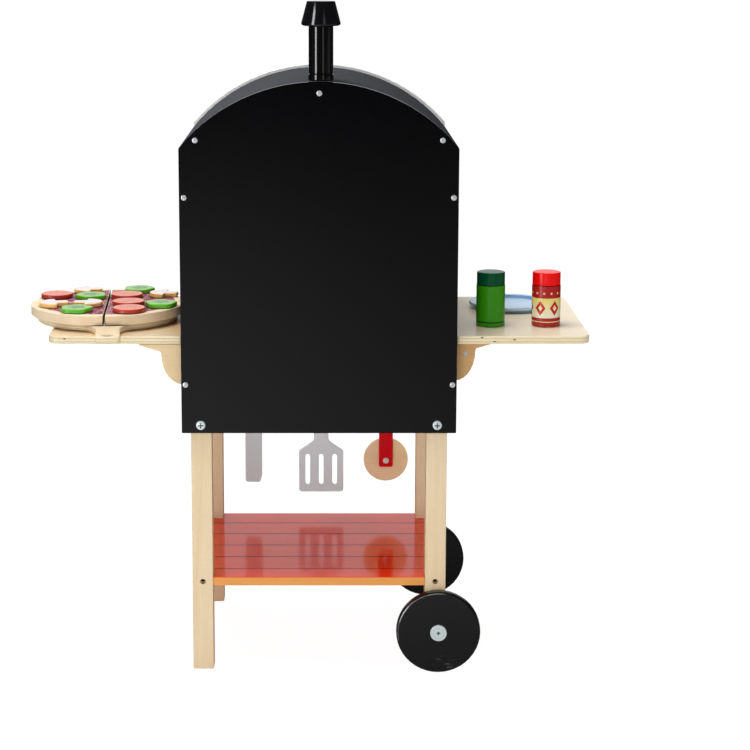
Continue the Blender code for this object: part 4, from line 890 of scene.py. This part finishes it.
def cross_cutter(name, radius, rise):
    """A cross that is wide outside the head and narrow at the floor of the recess."""
    arm = radius * CROSS_REACH
    slim = radius * CROSS_HALF_WIDTH
    corners = [(-slim, -arm), (slim, -arm), (slim, -slim), (arm, -slim), (arm, slim), (slim, slim),
               (slim, arm), (-slim, arm), (-slim, slim), (-arm, slim), (-arm, -slim), (-slim, -slim)]
    shape = bmesh.new()
    outer = [shape.verts.new((x, -rise * CROSS_OVERRUN, z)) for x, z in corners]
    inner = [shape.verts.new((x * CROSS_TAPER, -rise * CROSS_FLOOR, z * CROSS_TAPER)) for x, z in corners]
    shape.faces.new(outer)
    shape.faces.new(list(reversed(inner)))
    bridge(shape, outer, inner)
    return closed_mesh(shape, name)


def screw_mesh(name, radius, rise):
    """A screw's head with its cross recess."""
    body = add_object(name + "_blank", screw_head(name, radius, rise))
    tool = add_object(name + "_recess", cross_cutter(name + "_recess", radius, rise))
    recess = body.modifiers.new("recess", "BOOLEAN")
    recess.operation = "DIFFERENCE"
    recess.solver = "EXACT"
    recess.object = tool
    seen = body.evaluated_get(bpy.context.evaluated_depsgraph_get())
    mesh = bpy.data.meshes.new_from_object(seen)
    mesh.name = name
    bpy.data.objects.remove(body, do_unlink=True)
    bpy.data.objects.remove(tool, do_unlink=True)
    mesh.shade_smooth()
    mesh.set_sharp_from_angle(angle=SCREW_SMOOTH_ANGLE)
    return mesh


def add_screw(name, mesh, place, body, finish, turn_deg, facing_deg=0.0):
    """A screw that rides a body, its cross turned and its head facing -Y or turned about Z."""
    screw = add_object(name, mesh.copy())
    screw.location = place
    screw.rotation_euler = (0.0, math.radians(turn_deg), math.radians(facing_deg))
    screw.data.materials.append(finish.material)
    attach(screw, body)


def screw_steel(name, roughness, metallic, dark, light):
    steel = Finish(name, roughness, specular=0.5, metallic=metallic)
    steel.colour(steel.mottled(dark, light, scale=900.0))
    return steel


def make_screws():
    """Small screws: seven in the back panel, one in the right bracket and one in each leg."""
    bright = screw_steel("screw_zinc", 0.34, 0.6, srgb(208, 210, 212), srgb(236, 238, 238))
    bright.ripple(scale=2500.0, distance=0.00005, strength=0.3)
    panel = screw_mesh("panel_screw", PANEL_SCREW_RADIUS, PANEL_SCREW_RISE)
    for number, (x, z, turn) in enumerate(PANEL_SCREWS, 1):
        add_screw(f"panel_screw_{number}", panel, plan(x, 0.0, z), "root", bright, turn)
    small = screw_mesh("bracket_screw", SMALL_SCREW_RADIUS, SMALL_SCREW_RISE)
    low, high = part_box("right_rear_bracket")
    place = (low.x + BRACKET_SCREW_IN, low.y, high.z - BRACKET_SCREW_DOWN)
    add_screw("right_bracket_screw", small, place, "root", bright, BRACKET_SCREW_TURN)
    dark = screw_steel("screw_dark", 0.40, 0.5, srgb(52, 40, 30), srgb(74, 60, 46))
    height = middle_of("shelf_board").z
    for name in ("rear_left_leg", "rear_right_leg", "front_left_leg", "front_right_leg"):
        low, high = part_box(name)
        rear = name.startswith("rear")
        y = low.y + LEG_SCREW_DEPTH if rear else high.y - LEG_SCREW_DEPTH
        place = ((low.x + high.x) / 2, y, height)
        facing = 0.0 if rear else 180.0
        add_screw(name.replace("_leg", "_shelf_screw"), small, place, "root", dark, LEG_SCREW_TURN, facing)


def dress_utensils():
    """Grey paint on the knife and the spatula, red on the cutter's handle."""
    grey = Finish("grey_paint", UTENSIL_ROUGHNESS, specular=0.4)
    outer = grey.mottled(srgb(202, 206, 211), srgb(208, 212, 217), CLOUD_SCALE, CLOUD_DETAIL)
    # The faces towards the oven are paler and cooler, because the shelf's red glow falls on them.
    inner = grey.mottled(srgb(224, 243, 251), srgb(230, 248, 255), CLOUD_SCALE, CLOUD_DETAIL)
    grey.colour(grey.mix(grey.below(grey.facing("Y"), -0.5), outer, inner))
    grey.spray(UTENSIL_ROUGHNESS)
    for name in ("knife", "spatula"):
        dress(name, grey)
    dress("cutter_handle", paint("red_paint", srgb(212, 0, 18), roughness=0.34, specular=0.15))


def pizza_centre():
    lows = [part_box(name)[0] for name in SLICES]
    highs = [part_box(name)[1] for name in SLICES]
    x = (min(low.x for low in lows) + max(high.x for high in highs)) / 2
    y = (min(low.y for low in lows) + max(high.y for high in highs)) / 2
    return Vector((x, y, lows[0].z))


def sauce_tone(slab):
    """Blurred dark and pink sauce with red bits and a few pale ones."""
    broad = slab.noise(slab.place(), scale=70.0, detail=4.0, roughness=0.6)
    sauce = slab.mix(slab.span(broad, 0.35, 0.65), srgb(92, 24, 50), srgb(172, 80, 112))
    bits = slab.noise(slab.place(), scale=210.0, detail=2.0)
    sauce = slab.mix(slab.span(bits, 0.55, 0.60), sauce, srgb(136, 12, 26))
    pale = slab.noise(slab.place(move=(3.0, 1.0, 0.0)), scale=240.0, detail=2.0)
    return slab.mix(slab.span(pale, 0.58, 0.63), sauce, srgb(244, 214, 216))


def dress_pizza():
    """Bare wood, painted with sauce inside an uneven crust, with painted shade where another piece stands
    close.
    """
    centre = pizza_centre()
    radius = (max(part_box(name)[1].x for name in SLICES) - min(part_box(name)[0].x for name in SLICES)) / 2
    slab = Finish("pizza_wood", roughness=0.42, specular=0.4)
    crust, height = grain(slab, PIZZA_BEECH, "X", seed=41, figure=0.5, fleck=0.25)
    x, y = slab.parts(slab.about((centre.x, centre.y, 0.0)), "XY")
    wobble = slab.noise(slab.place(), scale=60.0, detail=3.0)
    wobble = slab.span(wobble, 0.3, 0.7, -CRUST_WOBBLE, CRUST_WOBBLE)
    inside = slab.below(slab.plus(slab.length(x, y), wobble), radius - CRUST_WIDTH)
    top = slab.above(slab.facing("Z"), TOP_FACE)
    tone = slab.mix(slab.times(inside, top), crust, sauce_tone(slab))
    # Painted shade: darker round the toppings, in the cuts between the slices and wherever another piece
    # stands close.
    slab.colour(slab.painted_contact_shade(tone, srgb(44, 14, 16), SAUCE_SHADE_REACH, low=0.35, high=0.92))
    slab.bump(height, WOOD_RELIEF, strength=0.3)
    for name in SLICES:
        dress(name, slab)


def dress_tomatoes():
    """Speckled flesh inside a paler skin, red sides and painted shade where another piece stands close."""
    for name in TOMATOES:
        centre = middle_of(name)
        disc = Finish(name + "_paint", roughness=0.28, specular=0.5)
        x, y = disc.parts(disc.about((centre.x, centre.y, 0.0)), "XY")
        core = disc.span(disc.length(x, y), TOMATO_SKIN_FROM, TOMATO_SKIN_TO, 1.0, 0.0)
        speck = disc.noise(disc.place(), scale=260.0, detail=3.0)
        flesh = disc.mix(disc.span(speck, 0.45, 0.62), srgb(208, 108, 92), srgb(228, 144, 126))
        face = disc.mix(core, srgb(232, 150, 128), flesh)
        side = disc.mottled(srgb(172, 46, 26), srgb(192, 64, 40), scale=90.0)
        tone = disc.mix(disc.above(disc.facing("Z"), TOP_FACE), side, face)
        # Painted shade: darker at the foot of the slice and wherever another piece stands close.
        disc.colour(disc.painted_contact_shade(tone, srgb(96, 16, 10), TOMATO_SHADE_REACH))
        dress(name, disc)


def dress_peppers():
    """Pale green flesh round a darker star of seeds, and bright green sides."""
    for name, turn in PEPPER_TURNS.items():
        centre = middle_of(name)
        ring = Finish(name + "_paint", roughness=0.26, specular=0.5)
        about = ring.about((centre.x, centre.y, 0.0), PIZZA_TURN + math.radians(turn))
        x, y = ring.parts(about, "XY")
        angle = ring.calc("ARCTAN2", y, x)
        arms = ring.times(ring.calc("COSINE", ring.times(angle, PEPPER_ARMS)), PEPPER_ARM_LENGTH)
        reach = ring.plus(ring.length(x, y), arms)
        core = ring.span(reach, PEPPER_SEEDS_FROM, PEPPER_SEEDS_TO, 1.0, 0.0)
        flesh = ring.mottled(srgb(122, 174, 84), srgb(146, 190, 104), scale=240.0, detail=3.0)
        seeds = ring.mottled(srgb(76, 132, 72), srgb(100, 150, 92), scale=240.0, detail=3.0)
        side = ring.mottled(srgb(84, 176, 30), srgb(104, 200, 44), scale=80.0)
        top = ring.above(ring.facing("Z"), TOP_FACE)
        ring.colour(ring.mix(top, side, ring.mix(core, flesh, seeds)))
        dress(name, ring)


def dress_mushrooms():
    """Pale faces with faint gills, and yellow-brown sides."""
    for name in MUSHROOMS:
        cut = Finish(name + "_paint", roughness=0.34, specular=0.45)
        face = cut.mottled(srgb(216, 202, 200), srgb(232, 222, 224), scale=200.0, detail=3.0)
        side = cut.mottled(srgb(240, 186, 104), srgb(248, 208, 136), scale=90.0)
        cut.colour(cut.mix(cut.above(cut.facing("Z"), TOP_FACE), side, face))
        dress(name, cut)


def dress_plate():
    """Pale blue, with painted shade: a deeper blue on the upward side of the rim's inner wall."""
    plate = Finish("plate_blue", roughness=0.24, specular=0.5)
    centre = middle_of("plate")
    x, y = plate.parts(plate.about((centre.x, centre.y, 0.0)), "XY")
    wall = plate.below(plate.away(plate.length(x, y), PLATE_WALL_RADIUS), PLATE_WALL_HALF)
    wall = plate.times(wall, plate.above(plate.facing("Z"), 0.1))
    tone = plate.mottled(srgb(176, 206, 232), srgb(188, 214, 238), scale=18.0)
    # Painted shade: the inner wall of the rim is a deeper blue.
    plate.colour(plate.mix(wall, tone, srgb(112, 150, 194)))
    plate.ripple(scale=700.0, distance=0.0001, strength=0.2)
    dress("plate", plate)


def dress_green_shaker():
    body = seamed_paint("shaker_green", "green_shaker", srgb(52, 140, 12), srgb(14, 50, 6),
                        roughness=0.28, specular=0.30, seam_height=SHAKER_SEAM_HEIGHT)
    dress("green_shaker", body)
    lid = seamed_paint("lid_green", "green_shaker_lid", srgb(0, 76, 44), srgb(0, 26, 16),
                       roughness=0.20, specular=0.18)
    dress("green_shaker_lid", lid)


def dress_red_shaker():
    """A plain print: a pale band with red lozenges, a row of pale dots above it and a ring below."""
    lid = seamed_paint("lid_red", "red_shaker_lid", srgb(242, 4, 6), srgb(120, 0, 4),
                       roughness=0.20, specular=0.25)
    dress("red_shaker_lid", lid)
    low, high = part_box("red_shaker")
    centre = (low + high) / 2
    shaker = Finish("shaker_red", roughness=0.26, specular=0.45)
    x, y, z = shaker.parts(shaker.about((centre.x, centre.y, low.z)), "XYZ")
    angle = shaker.calc("DIVIDE", shaker.calc("ARCTAN2", x, shaker.times(y, -1.0)), 2 * math.pi)

    def from_column(count):
        """How far round from the nearest of some columns, as a share of their spacing."""
        return shaker.away(shaker.calc("FRACT", shaker.plus(shaker.times(angle, count), 8.0)), 0.5)

    tone = shaker.mottled(srgb(160, 12, 18), srgb(186, 20, 24), scale=80.0)
    yellower = shaker.span(z, YELLOW_FROM, YELLOW_TO)
    cream = shaker.mix(yellower, srgb(240, 236, 210), srgb(236, 218, 122))
    from_middle = shaker.away(z, BAND_HEIGHT)
    tone = shaker.mix(shaker.below(from_middle, BAND_HALF), tone, cream)
    lozenge = shaker.plus(
        shaker.calc("DIVIDE", from_column(LOZENGE_COUNT), LOZENGE_HALF_WIDTH),
        shaker.calc("DIVIDE", from_middle, LOZENGE_HALF_HEIGHT))
    tone = shaker.mix(shaker.below(lozenge, 1.0), tone, srgb(196, 26, 26))
    tone = shaker.mix(shaker.below(lozenge, LOZENGE_HEART), tone, cream)
    wide = shaker.times(from_column(DOT_COUNT), DOT_SPACING)
    dot = shaker.below(shaker.length(wide, shaker.away(z, DOT_HEIGHT)), DOT_RADIUS)
    tone = shaker.mix(dot, tone, srgb(240, 214, 150))
    ring = shaker.below(shaker.away(z, RING_HEIGHT), RING_HALF)
    shaker.colour(shaker.mix(ring, tone, srgb(238, 222, 160)))
    dress("red_shaker", shaker)


make_camera()
make_world()
make_lights()
make_floor()
smooth_nodes()
dress_panels()
dress_roof()
dress_chimney()
dress_wheels()
dress_wood()
dress_shelf()
dress_bolts()
make_screws()
dress_utensils()
dress_pizza()
dress_tomatoes()
dress_peppers()
dress_mushrooms()
dress_plate()
dress_green_shaker()
dress_red_shaker()

scene = bpy.context.scene
scene.view_settings.view_transform = "Standard"
